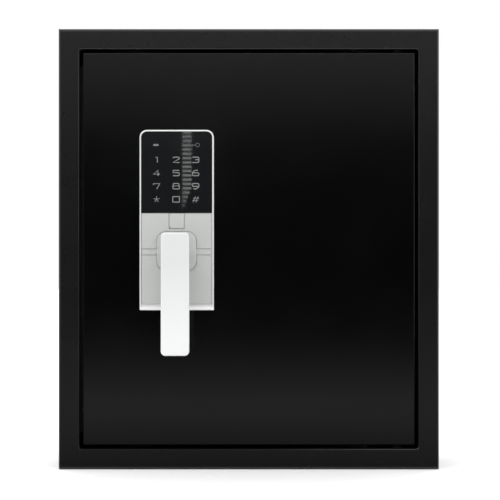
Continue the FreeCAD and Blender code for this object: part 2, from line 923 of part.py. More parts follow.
def lock_plates():
    """Two satin plates with the lever's boss and its side arms between them."""
    front = f"{LOCK_FACE} + plate_recess"
    rear = f"{front} + plate_sheet"
    across = centred(f"2 * ({PLATE_HALF})", "lock_x")
    arm_up = centred("arm_height", "handle_z - arm_drop")
    arm_bottom = f"{arm_up[0]} - plate_gap"
    arm_top = f"{arm_up[1]} + plate_gap"
    boss_hole = centred("boss_side + 2 * plate_gap", "lock_x")
    boss_top = "handle_z + boss_side / 2 + plate_gap"
    boss_bottom = "handle_z - boss_side / 2 - plate_gap"

    upper = plate("upper_plate", across, (arm_top, "glass_bottom - 2 * glass_play"), front, rear)
    cut_rectangle(
        upper, boss_hole, (f"{arm_top} - 1", boss_top), front, rear
    )
    top = size("handle_z") + size("boss_side") / 2 + size("plate_gap")
    round_edges(
        upper, "boss_corner + plate_gap",
        lambda edge: runs_along_y(edge) and at_edge(edge.BoundBox.ZMin, top),
    )
    cut_rectangle(
        upper,
        centred("tab_width + 2 * plate_gap", "lock_x"),
        (f"{TAB_BOTTOM} - plate_gap", "glass_bottom"),
        front,
        rear,
    )

    foot = "lock_bottom + foot_height + 2 * glass_play"
    lower = plate("lower_plate", across, (foot, arm_bottom), front, rear)
    cut_rectangle(lower, boss_hole, (boss_bottom, f"{arm_bottom} + 1"), front, rear)
    bottom = size("handle_z") - size("boss_side") / 2 - size("plate_gap")
    round_edges(
        lower, "boss_corner + plate_gap",
        lambda edge: runs_along_y(edge) and at_edge(edge.BoundBox.ZMin, bottom),
    )

    boss_front = f"{LOCK_FACE} - boss_rise"
    body = plate(
        "boss_insert", centred("boss_side", "lock_x"), centred("boss_side", "handle_z"),
        boss_front, rear,
    )
    round_edges(body, "boss_corner", runs_along_y)
    face = -size("lock_front") - size("boss_rise")
    round_edges(body, "boss_round", lambda edge: lies_at_y(edge, face))
    arms = new_sketch(body, "XZ_Plane", rear)
    rectangle(arms, across, arm_up)
    pad(body, arms, f"({rear}) - ({front})")
    cut_circles(body, [SPINDLE_HOLE], f"{boss_front} - 1", f"{rear} + 1")


def override_lock():
    """Emergency key cylinder, its plug and tail, and the cover over them."""
    front = f"{LOCK_FACE} + override_front"
    rear = f"{DOOR_REAR} + hard_sheet + override_rear"
    length = f"({rear}) - ({front})"
    keep(tube(
        "override_cylinder", "y", ("lock_x", front, "override_z"), length,
        "override_radius", "plug_radius + running_gap",
    ))
    plug = rod(
        "plug_blank", "y", ("lock_x", front, "override_z"), f"{length} + 1", "plug_radius"
    )
    keyway = block(
        "plug_keyway", centred("keyway_width", "lock_x"), (front, f"{front} + keyway_depth"),
        centred("keyway_height", "override_z"),
    )
    keep(cut("override_plug", plug, keyway))
    tail_front = f"{rear} + 1"
    keep(block(
        "override_tail", centred("tail_width", "lock_x"),
        (tail_front, f"{tail_front} + tail_sheet"),
        ("override_z - plug_radius", "override_z + tail_reach"),
    ))

    cover_front = f"{LOCK_FACE} + tab_recess"
    body = plate(
        "override_cover", centred("tab_width", "lock_x"),
        (TAB_BOTTOM, f"{TAB_TOP} - 2 * glass_play"), cover_front, f"{cover_front} + plate_sheet",
    )
    bottom = size("glass_bottom") - size("tab_height")
    for side, radius in zip(SIDES, ("tab_corner", "tab_small_corner")):
        across = size("lock_x") + side * size("tab_width") / 2
        round_edges(
            body, radius,
            lambda edge: runs_along_y(edge)
            and at_edge(edge.BoundBox.ZMin, bottom)
            and at_edge(edge.BoundBox.XMin, across),
        )
    face = size("tab_recess") - size("lock_front")
    round_edges(body, "tab_round", lambda edge: lies_at_y(edge, face))


def panel_screws():
    screws = []
    for across, up in PANEL_SCREWS:
        shank = rod(
            "panel_screw_shank", "y", (across, "-lock_back - panel_screw_depth", up),
            f"panel_screw_depth + lock_back + ({DOOR_REAR})", "small_screw_radius",
        )
        head = rod(
            "panel_screw_head", "y", (across, DOOR_REAR, up), "small_head_height",
            "small_head_radius",
        )
        screws.append(fuse("panel_screw", [shank, head]))
    keep(group("panel_screws", screws))


# ---- lever and cam ---------------------------------------------------------

NECK_REAR = "-lock_front - boss_rise - neck_gap"


def lever_handle():
    rear = "lever_sheet - lever_face"
    body = plate(
        "lever_handle", centred("lever_width", "lock_x"),
        ("handle_z - lever_below", "handle_z + lever_above"), "-lever_face", rear,
    )
    round_edges(body, "lever_corner", runs_along_y)
    face = -size("lever_face")
    back = size("lever_sheet") - size("lever_face")
    round_edges(
        body, "lever_round", lambda edge: lies_at_y(edge, face) or lies_at_y(edge, back)
    )
    neck = new_sketch(body, "XZ_Plane", NECK_REAR)
    circle(neck, "lock_x", "handle_z", "neck_radius")
    pad(body, neck, f"({NECK_REAR}) - ({rear}) + 3")
    socket = new_sketch(body, "XZ_Plane", NECK_REAR)
    rectangle(
        socket, centred("spindle_square", "lock_x"), centred("spindle_square", "handle_z")
    )
    pocket(body, socket, "spindle_grip", reverse=True)
    grub_hole = new_sketch(body, "XY_Plane", "handle_z - spindle_square / 2")
    circle(grub_hole, "lock_x", f"{NECK_REAR} - grub_inset", "grub_radius")
    pocket(body, grub_hole, "neck_radius")
    keep(rod(
        "lever_grub_screw", "z",
        ("lock_x", f"{NECK_REAR} - grub_inset", "handle_z - neck_radius + 1"),
        "neck_radius - 1 - spindle_square / 2", "grub_radius",
    ))


def spindle():
    """A square bar with a round journal, fastened to the cam by a screw."""
    square = centred("spindle_square", "lock_x")
    square_up = centred("spindle_square", "handle_z")
    rear = "cam_front + cam_sheet"
    bar = block("spindle_bar", square, (f"{NECK_REAR} - spindle_grip", rear), square_up)
    journal = rod(
        "spindle_journal", "y", ("lock_x", NECK_REAR, "handle_z"),
        f"cam_front - ({NECK_REAR})", "journal_radius",
    )
    thread_start = ("lock_x", f"{rear} - bolt_screw_length", "handle_z")
    thread = rod("spindle_thread", "y", thread_start, "bolt_screw_length", "small_screw_radius")
    keep(cut("spindle", fuse("spindle_solid", [bar, journal]), thread))
    keep(tube(
        "retaining_washer", "y", ("lock_x", rear, "handle_z"), "washer_sheet", "washer_radius",
        "small_screw_radius",
    ))
    shank = rod(
        "retaining_shank", "y", thread_start, "bolt_screw_length + washer_sheet",
        "small_screw_radius",
    )
    head = rod(
        "retaining_head", "y", ("lock_x", f"{rear} + washer_sheet", "handle_z"),
        "small_head_height", "small_head_radius",
    )
    keep(fuse("retaining_screw", [shank, head]))
    bush_front = f"{LOCK_FACE} + override_front"
    keep(tube(
        "spindle_bush", "y", ("lock_x", bush_front, "handle_z"),
        f"({DOOR_REAR}) + hard_sheet + 2 - ({bush_front})",
        "bolt_radius", "journal_radius + running_gap",
    ))


def cam_disc():
    """A disc whose spiral slot moves the drive pin by equal steps of turn."""
    centre = Vector(size("lock_x"), size("cam_front"), size("handle_z"))
    half_slot = size("drive_pin_radius") + size("cam_slot_gap")
    gain = size("bolt_throw") / (math.pi / 2)
    steps = 12

    def slot_point(share, aside, along=0):
        """A point beside the spiral; share runs from the pin's rest to full throw."""
        turned = share * math.pi / 2
        reach = size("cam_start") + gain * turned
        outward = Vector(-math.cos(turned), 0, math.sin(turned))
        around = Vector(math.sin(turned), 0, math.cos(turned))
        forward = (outward * gain + around * reach).normalize()
        sideways = Vector(forward.z, 0, -forward.x)
        return centre + outward * reach + sideways * aside + forward * along

    def slot_side(aside):
        side = Part.BSplineCurve()
        side.interpolate([slot_point(i / steps, aside) for i in range(steps + 1)])
        return side.toShape()

    def slot_end(share, along):
        ends = [slot_point(share, aside) for aside in (-half_slot, half_slot)]
        return Part.Arc(ends[0], slot_point(share, 0, along), ends[1]).toShape()

    edges = [
        slot_side(-half_slot),
        slot_end(1, half_slot),
        slot_side(half_slot),
        slot_end(0, -half_slot),
    ]
    slot = Part.Face(Part.Wire(Part.sortEdges(edges)[0])).extrude(Vector(0, size("cam_sheet"), 0))
    disc = Part.makeCylinder(size("cam_radius"), size("cam_sheet"), centre, Vector(0, 1, 0))
    side = size("spindle_square")
    corner = centre - Vector(side / 2, 0, side / 2)
    square = Part.makeBox(side, size("cam_sheet"), side, corner)
    made = doc.addObject("Part::Feature", "cam_disc")
    made.Shape = disc.cut(slot).cut(square)
    made.Placement = FreeCAD.Placement()
    keep(made)


# ---- bolt work -------------------------------------------------------------

def bolt_work():
    bolts = []
    screws = []
    for step in BOLT_STEPS:
        level = f"{step} * bolt_pitch"
        length = "bolt_tip - bar_left"
        bolt = rod("bolt_blank", "x", ("-bolt_tip", "bolt_y", level), length, "bolt_radius")
        thread_start = ("-bar_left - bolt_screw_length", "bolt_y", level)
        thread = rod("bolt_thread", "x", thread_start, "bolt_screw_length", "bolt_screw_radius")
        bolts.append(cut("bolt", bolt, thread))
        shank = rod(
            "bolt_screw_shank", "x", thread_start, "bolt_screw_length + bar_sheet",
            "bolt_screw_radius",
        )
        head = rod(
            "bolt_screw_head", "x", ("-bar_left + bar_sheet", "bolt_y", level),
            "bolt_head_height", "bolt_head_radius",
        )
        screws.append(fuse("bolt_screw", [shank, head]))
    keep(group("locking_bolts", bolts))
    keep(group("bolt_screws", screws))

    bar = new_body("bolt_bar")
    outline = new_sketch(bar, "YZ_Plane", "-bar_left")
    rectangle(outline, centred("bar_width", "bolt_y"), centred("bar_height"))
    for step in BOLT_STEPS:
        circle(outline, "bolt_y", f"{step} * bolt_pitch", "bolt_screw_radius")
    pad(bar, outline, "bar_sheet")

    plate_rear = "drive_front + drive_sheet"
    pin_x = "lock_x - cam_start"
    body = new_body("drive_plate")
    outline = new_sketch(body, "XZ_Plane", plate_rear)
    left = "-bar_left + bar_sheet"
    right = f"{pin_x} + drive_margin"
    top = "plunger_tip - plunger_gap"
    shoulder = "plunger_tip - drive_step"
    inner = "plunger_x + plunger_radius + drive_margin - 0.6"
    polygon(outline, (
        (left, "-drive_drop"),
        (right, "-drive_drop"),
        (right, shoulder),
        (inner, shoulder),
        (inner, top),
        (left, top),
    ))
    circle(outline, pin_x, "handle_z", "drive_pin_radius")
    pad(body, outline, "drive_sheet")
    keep(rod(
        "drive_pin", "y", (pin_x, "cam_front - 0.5", "handle_z"),
        f"{plate_rear} - cam_front + 0.5", "drive_pin_radius",
    ))

    guides = []
    low = "-bar_left - bolt_throw - guide_play - guide_sheet"
    high = "-bar_left + bar_sheet + guide_play"
    rear = "bolt_y + bar_width / 2 + 0.5"
    for side in SIDES:
        up = centred("guide_height", f"{side} * guide_spread / 2")
        outside = block(
            "guide_outside", (low, f"{high} + guide_sheet"), (DOOR_REAR, f"{rear} + guide_sheet"), up
        )
        inside = block("guide_inside", (f"{low} + guide_sheet", high), (DOOR_REAR, rear), up)
        guides.append(cut("bar_guide", outside, inside))
    keep(group("bar_guides", guides))


def solenoid():
    """The coil in its frame, and the plunger that drops behind the drive plate."""
    plunger_y = "drive_front + drive_sheet / 2"
    top = "solenoid_bottom + solenoid_height"
    across = centred("solenoid_width", "plunger_x")
    frame_outside = block(
        "solenoid_outside", across, centred("solenoid_depth", plunger_y), ("solenoid_bottom", top)
    )
    frame_inside = block(
        "solenoid_window", across, centred("solenoid_depth - 2 * solenoid_wall", plunger_y),
        ("solenoid_bottom + solenoid_wall", f"{top} - solenoid_wall"),
    )
    bore = rod(
        "solenoid_bore", "z", ("plunger_x", plunger_y, "solenoid_bottom"), "solenoid_height",
        "plunger_radius + running_gap",
    )
    hollow_frame = cut("solenoid_channel", frame_outside, frame_inside)
    keep(cut("solenoid_frame", hollow_frame, bore))
    keep(tube(
        "solenoid_coil", "z", ("plunger_x", plunger_y, "solenoid_bottom + solenoid_wall"),
        "solenoid_height - 2 * solenoid_wall", "coil_radius", "plunger_radius + running_gap",
    ))
    stem = rod(
        "plunger_stem", "z", ("plunger_x", plunger_y, "plunger_tip"),
        f"{top} - plunger_tip - solenoid_wall", "plunger_radius",
    )
    collar = rod(
        "plunger_collar", "z", ("plunger_x", plunger_y, "plunger_tip + collar_level"),
        "collar_height", "collar_radius",
    )
    keep(fuse("solenoid_plunger", [stem, collar]))

    wire = size("spring_wire")
    start = size("plunger_tip") + size("collar_level") + size("collar_height") + wire
    rise = size("solenoid_bottom") - wire - start
    radius = size("plunger_radius") + wire
    turns = 5
    path = Part.makeHelix(rise / turns, rise, radius)
    section = Part.Wire([Part.makeCircle(wire / 2, Vector(radius, 0, 0), Vector(0, 1, 0))])
    made = doc.addObject("Part::Feature", "plunger_spring")
    made.Shape = path.makePipeShell([section], True, True)
    centre_y = size("drive_front") + size("drive_sheet") / 2
    made.Placement = FreeCAD.Placement(
        Vector(size("plunger_x"), centre_y, start), FreeCAD.Rotation()
    )
    keep(made)


# ---- electronics and battery -----------------------------------------------

def lock_board():
    """The lock's circuit board on four spacers, with its chips and switch."""
    rear = "board_front + board_sheet"
    pieces = [block(
        "board_panel", ("board_left", "board_right"), ("board_front", rear),
        ("board_bottom", "board_top"),
    )]
    for across in ("board_left + spacer_inset", "board_right - spacer_inset"):
        for up in ("board_bottom + spacer_inset", "board_top - spacer_inset"):
            pieces.append(rod(
                "board_spacer", "y", (across, DOOR_REAR, up), f"board_front - ({DOOR_REAR})",
                "spacer_radius",
            ))
    # centre, width, height and thickness of the chips, sockets, switch and buzzer
    for across, up, wide, high, thick in (
        (0, 100, 18, 18, 2),
        (45, 70, 12, 8, 1.6),
        (5, 65, 20, 9, 7),
        ("button_x", "button_z", 6, 6, 5),
        (50, 112, 10, 14, 6),
    ):
        pieces.append(block(
            "board_chip", centred(wide, across), (rear, f"{rear} + {thick}"), centred(high, up)
        ))
    keep(fuse("lock_board", pieces))


def reset_button():
    stem = rod(
        "button_stem", "y", ("button_x", "button_front", "button_z"),
        "pan_rear + cover_sheet + button_proud - button_front", "button_radius",
    )
    collar = rod(
        "button_collar", "y", ("button_x", "pan_rear - button_travel - 0.5", "button_z"),
        "button_travel", "button_radius + button_collar",
    )
    keep(fuse("reset_button", [stem, collar]))


def battery():
    """Four cells in a case behind the cover, and the door that slides over them."""
    inner_width = "4 * cell_pitch"
    inner_height = "cell_length + case_play"
    depth = "2 * (cell_radius + case_play)"
    body = plate(
        "battery_case",
        centred(f"{inner_width} + 2 * case_wall", "battery_x"),
        centred(f"{inner_height} + 2 * case_wall", "battery_z"),
        f"pan_rear - ({depth}) - case_wall",
        "pan_rear",
    )
    cut_rectangle(
        body,
        centred(inner_width, "battery_x"),
        centred(inner_height, "battery_z"),
        f"pan_rear - ({depth})",
        "pan_rear",
    )
    cells = []
    for i in range(4):
        across = f"battery_x + {i - 1.5} * cell_pitch"
        cells.append(rod(
            "cell", "z",
            (across, f"pan_rear - ({depth}) + cell_radius + face_gap", "battery_z - cell_length / 2"),
            "cell_length", "cell_radius",
        ))
    keep(group("battery_cells", cells))

    cover_rear = "pan_rear + cover_sheet"
    door_across = centred(f"{inner_width} + 2 * battery_door_lap", "battery_x")
    door_height = f"{inner_height} + 2 * battery_door_lap"
    door_up = centred(door_height, "battery_z")
    door_front = f"{cover_rear} + face_gap"
    door_rear = f"{door_front} + battery_door_sheet"
    door = plate("battery_door", door_across, door_up, door_front, door_rear)
    round_edges(door, "battery_door_corner", runs_along_y)
    grip = new_sketch(door, "XZ_Plane", door_rear)
    for i in range(5):
        groove = f"battery_x - grip_left + {i} * grip_pitch"
        rectangle(grip, centred("grip_width", groove), centred("grip_height", "battery_z"))
    pocket(door, grip, "grip_depth", reverse=True)

    rails = []
    across = (door_across[0], f"{door_across[1]} + rail_run")
    lip_front = f"{door_rear} + face_gap"
    for side in SIDES:
        edge = f"battery_z + {side} * ({door_height}) / 2"
        inner = f"{edge} + {side} * rail_gap"
        outer = f"{inner} + {side} * rail_web"
        overhang = f"{edge} - {side} * rail_lip"
        web = (inner, outer) if side > 0 else (outer, inner)
        lip = (overhang, outer) if side > 0 else (outer, overhang)
        rails.append(fuse("battery_rail", [
            block("rail_side", across, (cover_rear, lip_front), web),
            block("rail_cap", across, (lip_front, f"{lip_front} + rail_sheet"), lip),
        ]))
    keep(group("battery_rails", rails))


# ---- build and write -------------------------------------------------------

for build in (
    front_frame, body_shell, back_panel, strike_plate, hinge_bushes, door_stops, shelves,
    door_plate, hard_plate, door_pan, rear_cover, hinges,
    lock_tray, keypad, lock_gasket, lock_plates, override_lock, panel_screws,
    lever_handle, spindle, cam_disc, bolt_work, solenoid,
    lock_board, reset_button, battery,
):
    build()
doc.recompute()

faults = []
for item in doc.Objects:
    if "Invalid" in item.State or "Error" in item.State:
        faults.append(f"{item.Label}: {item.State}")
    if item.TypeId == "PartDesign::Pocket" and item.BaseFeature is not None:
        if item.Shape.Volume > item.BaseFeature.Shape.Volume - 0.01:
            faults.append(f"{item.Label}: cuts nothing")
for piece in nodes:
    if piece.Shape.isNull() or not piece.Shape.isValid() or not piece.Shape.Solids:
        faults.append(f"{piece.Label}: no valid solid")
if faults:
    raise RuntimeError("; ".join(faults))

os.makedirs("parts", exist_ok=True)
for piece in nodes:
    piece.Shape.exportStep(f"parts/{piece.Label}.step")
    print(f"{piece.Label:22s} {len(piece.Shape.Solids)} solid(s) {piece.Shape.Volume / 1000:9.2f} cm3")
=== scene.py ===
import json
import math

import bmesh
import bpy
from mathutils import Matrix, Vector


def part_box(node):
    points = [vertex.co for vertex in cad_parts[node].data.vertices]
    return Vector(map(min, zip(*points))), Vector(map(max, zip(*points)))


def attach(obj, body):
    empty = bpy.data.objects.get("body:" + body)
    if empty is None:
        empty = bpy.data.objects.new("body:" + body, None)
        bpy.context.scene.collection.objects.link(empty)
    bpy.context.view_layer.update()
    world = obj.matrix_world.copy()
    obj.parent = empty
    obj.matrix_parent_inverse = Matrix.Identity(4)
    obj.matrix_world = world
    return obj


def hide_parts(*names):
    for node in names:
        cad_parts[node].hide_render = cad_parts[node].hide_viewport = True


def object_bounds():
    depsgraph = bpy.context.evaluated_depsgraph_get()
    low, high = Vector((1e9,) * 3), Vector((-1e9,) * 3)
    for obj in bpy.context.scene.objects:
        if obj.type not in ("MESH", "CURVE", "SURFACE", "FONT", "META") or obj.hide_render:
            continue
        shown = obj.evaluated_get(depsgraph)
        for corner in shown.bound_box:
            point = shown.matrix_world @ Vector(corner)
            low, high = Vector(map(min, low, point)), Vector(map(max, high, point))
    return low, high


# Looks for the wall safe. Metres; X to the right, Y into the wall, Z up.

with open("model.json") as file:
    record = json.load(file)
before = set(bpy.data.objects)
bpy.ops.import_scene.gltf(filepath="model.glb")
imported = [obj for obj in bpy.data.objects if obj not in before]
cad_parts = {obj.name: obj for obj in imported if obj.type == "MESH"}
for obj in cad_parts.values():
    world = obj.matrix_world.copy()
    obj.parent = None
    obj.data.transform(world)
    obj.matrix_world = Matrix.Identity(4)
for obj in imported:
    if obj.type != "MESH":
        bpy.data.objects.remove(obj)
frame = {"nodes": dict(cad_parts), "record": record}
nodes = frame["nodes"]
cad_low, cad_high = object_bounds()

MM = 0.001


# ---- shader building blocks --------------------------------------------------

def new_finish(name):
    """A new material, its node tree and its shader."""
    material = bpy.data.materials.new(name)
    material.use_nodes = True
    tree = material.node_tree
    return material, tree, tree.nodes["Principled BSDF"]


def add_node(tree, kind, inputs=None, **settings):
    """A shader node; an input given a socket is linked, any other is set."""
    made = tree.nodes.new("ShaderNode" + kind)
    for key, value in settings.items():
        setattr(made, key, value)
    for key, value in (inputs or {}).items():
        if isinstance(value, bpy.types.NodeSocket):
            tree.links.new(value, made.inputs[key])
        else:
            made.inputs[key].default_value = value
    return made


def object_coordinates(tree):
    return add_node(tree, "TexCoord").outputs["Object"]


def stretched(tree, coordinates, scale):
    """Coordinates scaled along each axis, so that a texture gets a direction."""
    mapping = add_node(tree, "Mapping", {"Vector": coordinates, "Scale": scale})
    return mapping.outputs["Vector"]


def noise(tree, coordinates, scale, detail=2.0, roughness=0.5):
    """Soft noise from 0 to 1; more detail adds finer layers."""
    made = add_node(tree, "TexNoise", {
        "Vector": coordinates, "Scale": scale, "Detail": detail, "Roughness": roughness,
    })
    return made.outputs["Fac"]


def remap(tree, value, low, high, start=0.0, stop=1.0):
    """Low where the value is start, high where it is stop, and held beyond them."""
    made = add_node(tree, "MapRange", {
        "Value": value, "From Min": start, "From Max": stop, "To Min": low, "To Max": high,
    })
    return made.outputs["Result"]


def part_of(tree, vector, axis):
    return add_node(tree, "SeparateXYZ", {0: vector}).outputs[axis]


def product(tree, first, second):
    return add_node(tree, "Math", {0: first, 1: second}, operation="MULTIPLY").outputs[0]


def share_of(tree, limits):
    """The product of ramps, each given as (value, (where it is 0, where it is 1))."""
    share = 1.0
    for value, ramp in limits:
        share = product(tree, share, remap(tree, value, 0.0, 1.0, *ramp))
    return share


def blend_colour(tree, factor, first, second):
    made = add_node(tree, "Mix", data_type="RGBA")
    tree.links.new(factor, made.inputs["Factor"])
    for socket, colour in (("A", first), ("B", second)):
        target = next(i for i in made.inputs if i.name == socket and i.type == "RGBA")
        if isinstance(colour, bpy.types.NodeSocket):
            tree.links.new(colour, target)
        else:
            target.default_value = (*colour, 1.0)
    return next(o for o in made.outputs if o.type == "RGBA")


def bump(tree, height, strength, distance, under=None):
    """A bumped normal, on top of another one if that is given."""
    inputs = {"Height": height, "Strength": strength, "Distance": distance}
    if under is not None:
        inputs["Normal"] = under
    return add_node(tree, "Bump", inputs).outputs["Normal"]


def edge_mask(tree, radius, start, stop):
    """1 along sharp edges, 0 on flat faces."""
    face = add_node(tree, "NewGeometry").outputs["Normal"]
    eased = add_node(tree, "Bevel", {"Radius": radius}, samples=6).outputs["Normal"]
    lean = add_node(tree, "VectorMath", {0: face, 1: eased}, operation="DOT_PRODUCT")
    return remap(tree, lean.outputs["Value"], 0.0, 1.0, 1.0 - start, 1.0 - stop)


def set_inputs(shader, values):
    for key, value in values.items():
        shader.inputs[key].default_value = value


# ---- finishes ----------------------------------------------------------------

# Noise scales are per metre, and bump distances are metres. A ramp is (where it is 0,
# where it is 1), along a place in metres or a slope, which is one part of the normal.
# The slope where the foot's painted light from the floor comes in.
SLOPE_OF_FOOT = (-0.4, -0.65)
# The run down the lever over which its painted light comes in.
LEVER_RUN = (-0.010, -0.090)
# Edges facing up and left, where the rim's painted shade dims the gloss.
RIM_DIRECTION = (-0.7, 0.0, 0.7)
RIM_LEAN = (0.1, 0.4)
# The slopes and heights of the lip's painted highlight.
LIP_SLOPES = ((-0.15, -0.45), (-0.995, -0.95))
LIP_HEIGHTS = ((0.150, 0.190), (0.212, 0.206))
# The slope, height and left end of the sill's painted shade, and its gloss there.
SILL_SLOPE = (0.15, 0.45)
SILL_HEIGHT = (-0.150, -0.190)
SILL_LEFT = (0.130, 0.020)
SILL_SPECULAR = 0.07


def powder_coat(name, dark, light, roughness, specular, peel, wear_and_edge_highlight=0.0, rim=None, lip=None):
    """Fine black powder coat: orange peel, slight waviness, edges a little paler as worn paint and
    a painted edge highlight.

    A rim is the specular level of the rounded edges that face up or left, a painted shade that
    dims their highlights.
    A lip is the paler grey of the rounded edge under the frame's top rail, a painted highlight
    standing in for light from the floor; with it, the edge along the bottom rail is also less
    glossy towards its left end, a painted shade over its highlight there.
    """
    material, tree, shader = new_finish(name)
    where = object_coordinates(tree)
    grain = noise(tree, where, 1400.0)
    ripple = noise(tree, where, 420.0)
    patches = noise(tree, where, 14.0, 4.0, 0.6)
    waves = noise(tree, where, 5.0, 1.0)
    colour = blend_colour(tree, patches, dark, light)
    # Paler edges: worn paint, and also a painted highlight along the edges.
    if wear_and_edge_highlight:
        worn_and_lit_edges = edge_mask(tree, 1.2 * MM, 0.03, 0.30)
        breaks = remap(tree, ripple, 0.2, 1.0, 0.35, 0.6)
        colour = blend_colour(tree, product(tree, worn_and_lit_edges, breaks), colour, (wear_and_edge_highlight, wear_and_edge_highlight, wear_and_edge_highlight))
    facing = add_node(tree, "TexCoord").outputs["Normal"]
    level = shader.inputs["Specular IOR Level"]
    level.default_value = specular
    # Rounded edges facing up and left less glossy: a painted shade over their highlights.
    if rim is not None:
        lean = add_node(
            tree, "VectorMath", {0: facing, 1: RIM_DIRECTION}, operation="DOT_PRODUCT"
        )
        tree.links.new(remap(tree, lean.outputs["Value"], specular, rim, *RIM_LEAN), level)
    # The down-facing edge under the top rail paler: a painted highlight, standing in for light
    # from the floor.
    if lip is not None:
        slope = part_of(tree, facing, "Z")
        height = part_of(tree, where, "Z")
        across = part_of(tree, where, "X")
        under = share_of(
            tree,
            [(slope, ramp) for ramp in LIP_SLOPES] + [(height, ramp) for ramp in LIP_HEIGHTS],
        )
        colour = blend_colour(tree, under, colour, (lip, lip, lip))
        # The upward edge of the bottom rail less glossy towards its left end: a painted shade over
        # its highlight.
        sill = share_of(tree, [
            (slope, SILL_SLOPE), (height, SILL_HEIGHT), (across, SILL_LEFT),
        ])
        tree.links.new(remap(tree, sill, specular, SILL_SPECULAR), level)
    tree.links.new(colour, shader.inputs["Base Color"])
    tree.links.new(
        remap(tree, patches, roughness - 0.05, roughness + 0.05), shader.inputs["Roughness"]
    )
    normal = bump(tree, waves, 0.25, 0.6 * MM)
    normal = bump(tree, ripple, peel, 0.06 * MM, normal)
    normal = bump(tree, grain, peel, 0.03 * MM, normal)
    tree.links.new(normal, shader.inputs["Normal"])
    return material


def satin_silver(name, shade, warm, roughness, metallic, foot=None, tip=None):
    """Silver lacquer on a die-casting: fine sparkle and a soft cast unevenness.

    A foot is the grey of the faces that slope down towards the floor, painted whiter and less
    metallic: painted light from the floor.
    A tip is the paler grey of a lever's free end, which takes over from the top downwards: painted
    light, as if from below.
    """
    material, tree, shader = new_finish(name)
    where = object_coordinates(tree)
    flake = noise(tree, where, 2600.0, 1.0)
    cloud = noise(tree, where, 22.0, 3.0)
    cast = noise(tree, where, 160.0)
    colour = blend_colour(tree, cloud, shade, warm)
    set_inputs(shader, {"Metallic": metallic})
    # The lever paler towards its free end: painted light, as if from below.
    if tip:
        along = remap(tree, part_of(tree, where, "Z"), 0.0, 1.0, *LEVER_RUN)
        colour = blend_colour(tree, along, colour, tip)
    # Faces sloping down whiter and less metallic: painted light from the floor.
    if foot:
        slope = part_of(tree, add_node(tree, "TexCoord").outputs["Normal"], "Z")
        colour = blend_colour(tree, remap(tree, slope, 0.0, 1.0, *SLOPE_OF_FOOT), colour, foot)
        tree.links.new(
            remap(tree, slope, metallic, 0.0, *SLOPE_OF_FOOT), shader.inputs["Metallic"]
        )
    tree.links.new(colour, shader.inputs["Base Color"])
    tree.links.new(
        remap(tree, cast, roughness - 0.06, roughness + 0.06), shader.inputs["Roughness"]
    )
    normal = bump(tree, cast, 0.06, 0.08 * MM)
    normal = bump(tree, flake, 0.10, 0.02 * MM, normal)
    tree.links.new(normal, shader.inputs["Normal"])
    return material


def plated_steel(name, colour, tint, roughness, direction=(1.0, 1.0, 1.0)):
    """Zinc or chrome plate with drawn lines along the sheet and dull stains."""
    material, tree, shader = new_finish(name)
    where = object_coordinates(tree)
    lines = noise(tree, stretched(tree, where, direction), 700.0, 3.0)
    stains = noise(tree, where, 45.0, 5.0, 0.65)
    tree.links.new(blend_colour(tree, stains, colour, tint), shader.inputs["Base Color"])
    tree.links.new(
        remap(tree, lines, roughness - 0.08, roughness + 0.1), shader.inputs["Roughness"]
    )
    tree.links.new(bump(tree, lines, 0.08, 0.03 * MM), shader.inputs["Normal"])
    set_inputs(shader, {"Metallic": 1.0})
    return material


def moulded(name, colour, worn, roughness, grain_scale, strength):
    """Moulded plastic or rubber with a fine spark-eroded grain."""
    material, tree, shader = new_finish(name)
    where = object_coordinates(tree)
    grain = noise(tree, where, grain_scale, 3.0)
    rub = noise(tree, where, 30.0, 4.0)
    tree.links.new(blend_colour(tree, rub, colour, worn), shader.inputs["Base Color"])
    tree.links.new(
        remap(tree, grain, roughness - 0.08, roughness + 0.08), shader.inputs["Roughness"]
    )
    tree.links.new(bump(tree, grain, strength, 0.05 * MM), shader.inputs["Normal"])
    return material


def black_glass(name):
    """Back-printed glass: clear gloss over deep grey, with faint finger marks."""
    material, tree, shader = new_finish(name)
    where = object_coordinates(tree)
    smear = noise(tree, stretched(tree, where, (1.0, 1.0, 0.35)), 60.0, 5.0, 0.7)
    float_wave = noise(tree, where, 12.0, 1.0)
    tree.links.new(
        blend_colour(tree, smear, (0.0055, 0.006, 0.0065), (0.008, 0.0085, 0.009)),
        shader.inputs["Base Color"],
    )
    tree.links.new(remap(tree, smear, 0.012, 0.034, 0.35, 0.75), shader.inputs["Roughness"])
    tree.links.new(bump(tree, float_wave, 0.03, 0.1 * MM), shader.inputs["Normal"])
    set_inputs(shader, {"IOR": 1.52})
    return material


def felt(name):
    """Dark needle felt: tufts under a coat of fibres."""
    material, tree, shader = new_finish(name)
    where = object_coordinates(tree)
    fibres = noise(tree, where, 900.0, 6.0, 0.75)
    tufts = noise(tree, where, 130.0, 3.0)
    tree.links.new(
        blend_colour(tree, tufts, (0.018, 0.018, 0.020), (0.045, 0.045, 0.048)),
        shader.inputs["Base Color"],
    )
    normal = bump(tree, tufts, 0.5, 0.6 * MM)
    tree.links.new(bump(tree, fibres, 0.8, 0.3 * MM, normal), shader.inputs["Normal"])
    set_inputs(shader, {"Roughness": 0.95, "Sheen Weight": 0.35, "Sheen Roughness": 0.5})
    return material


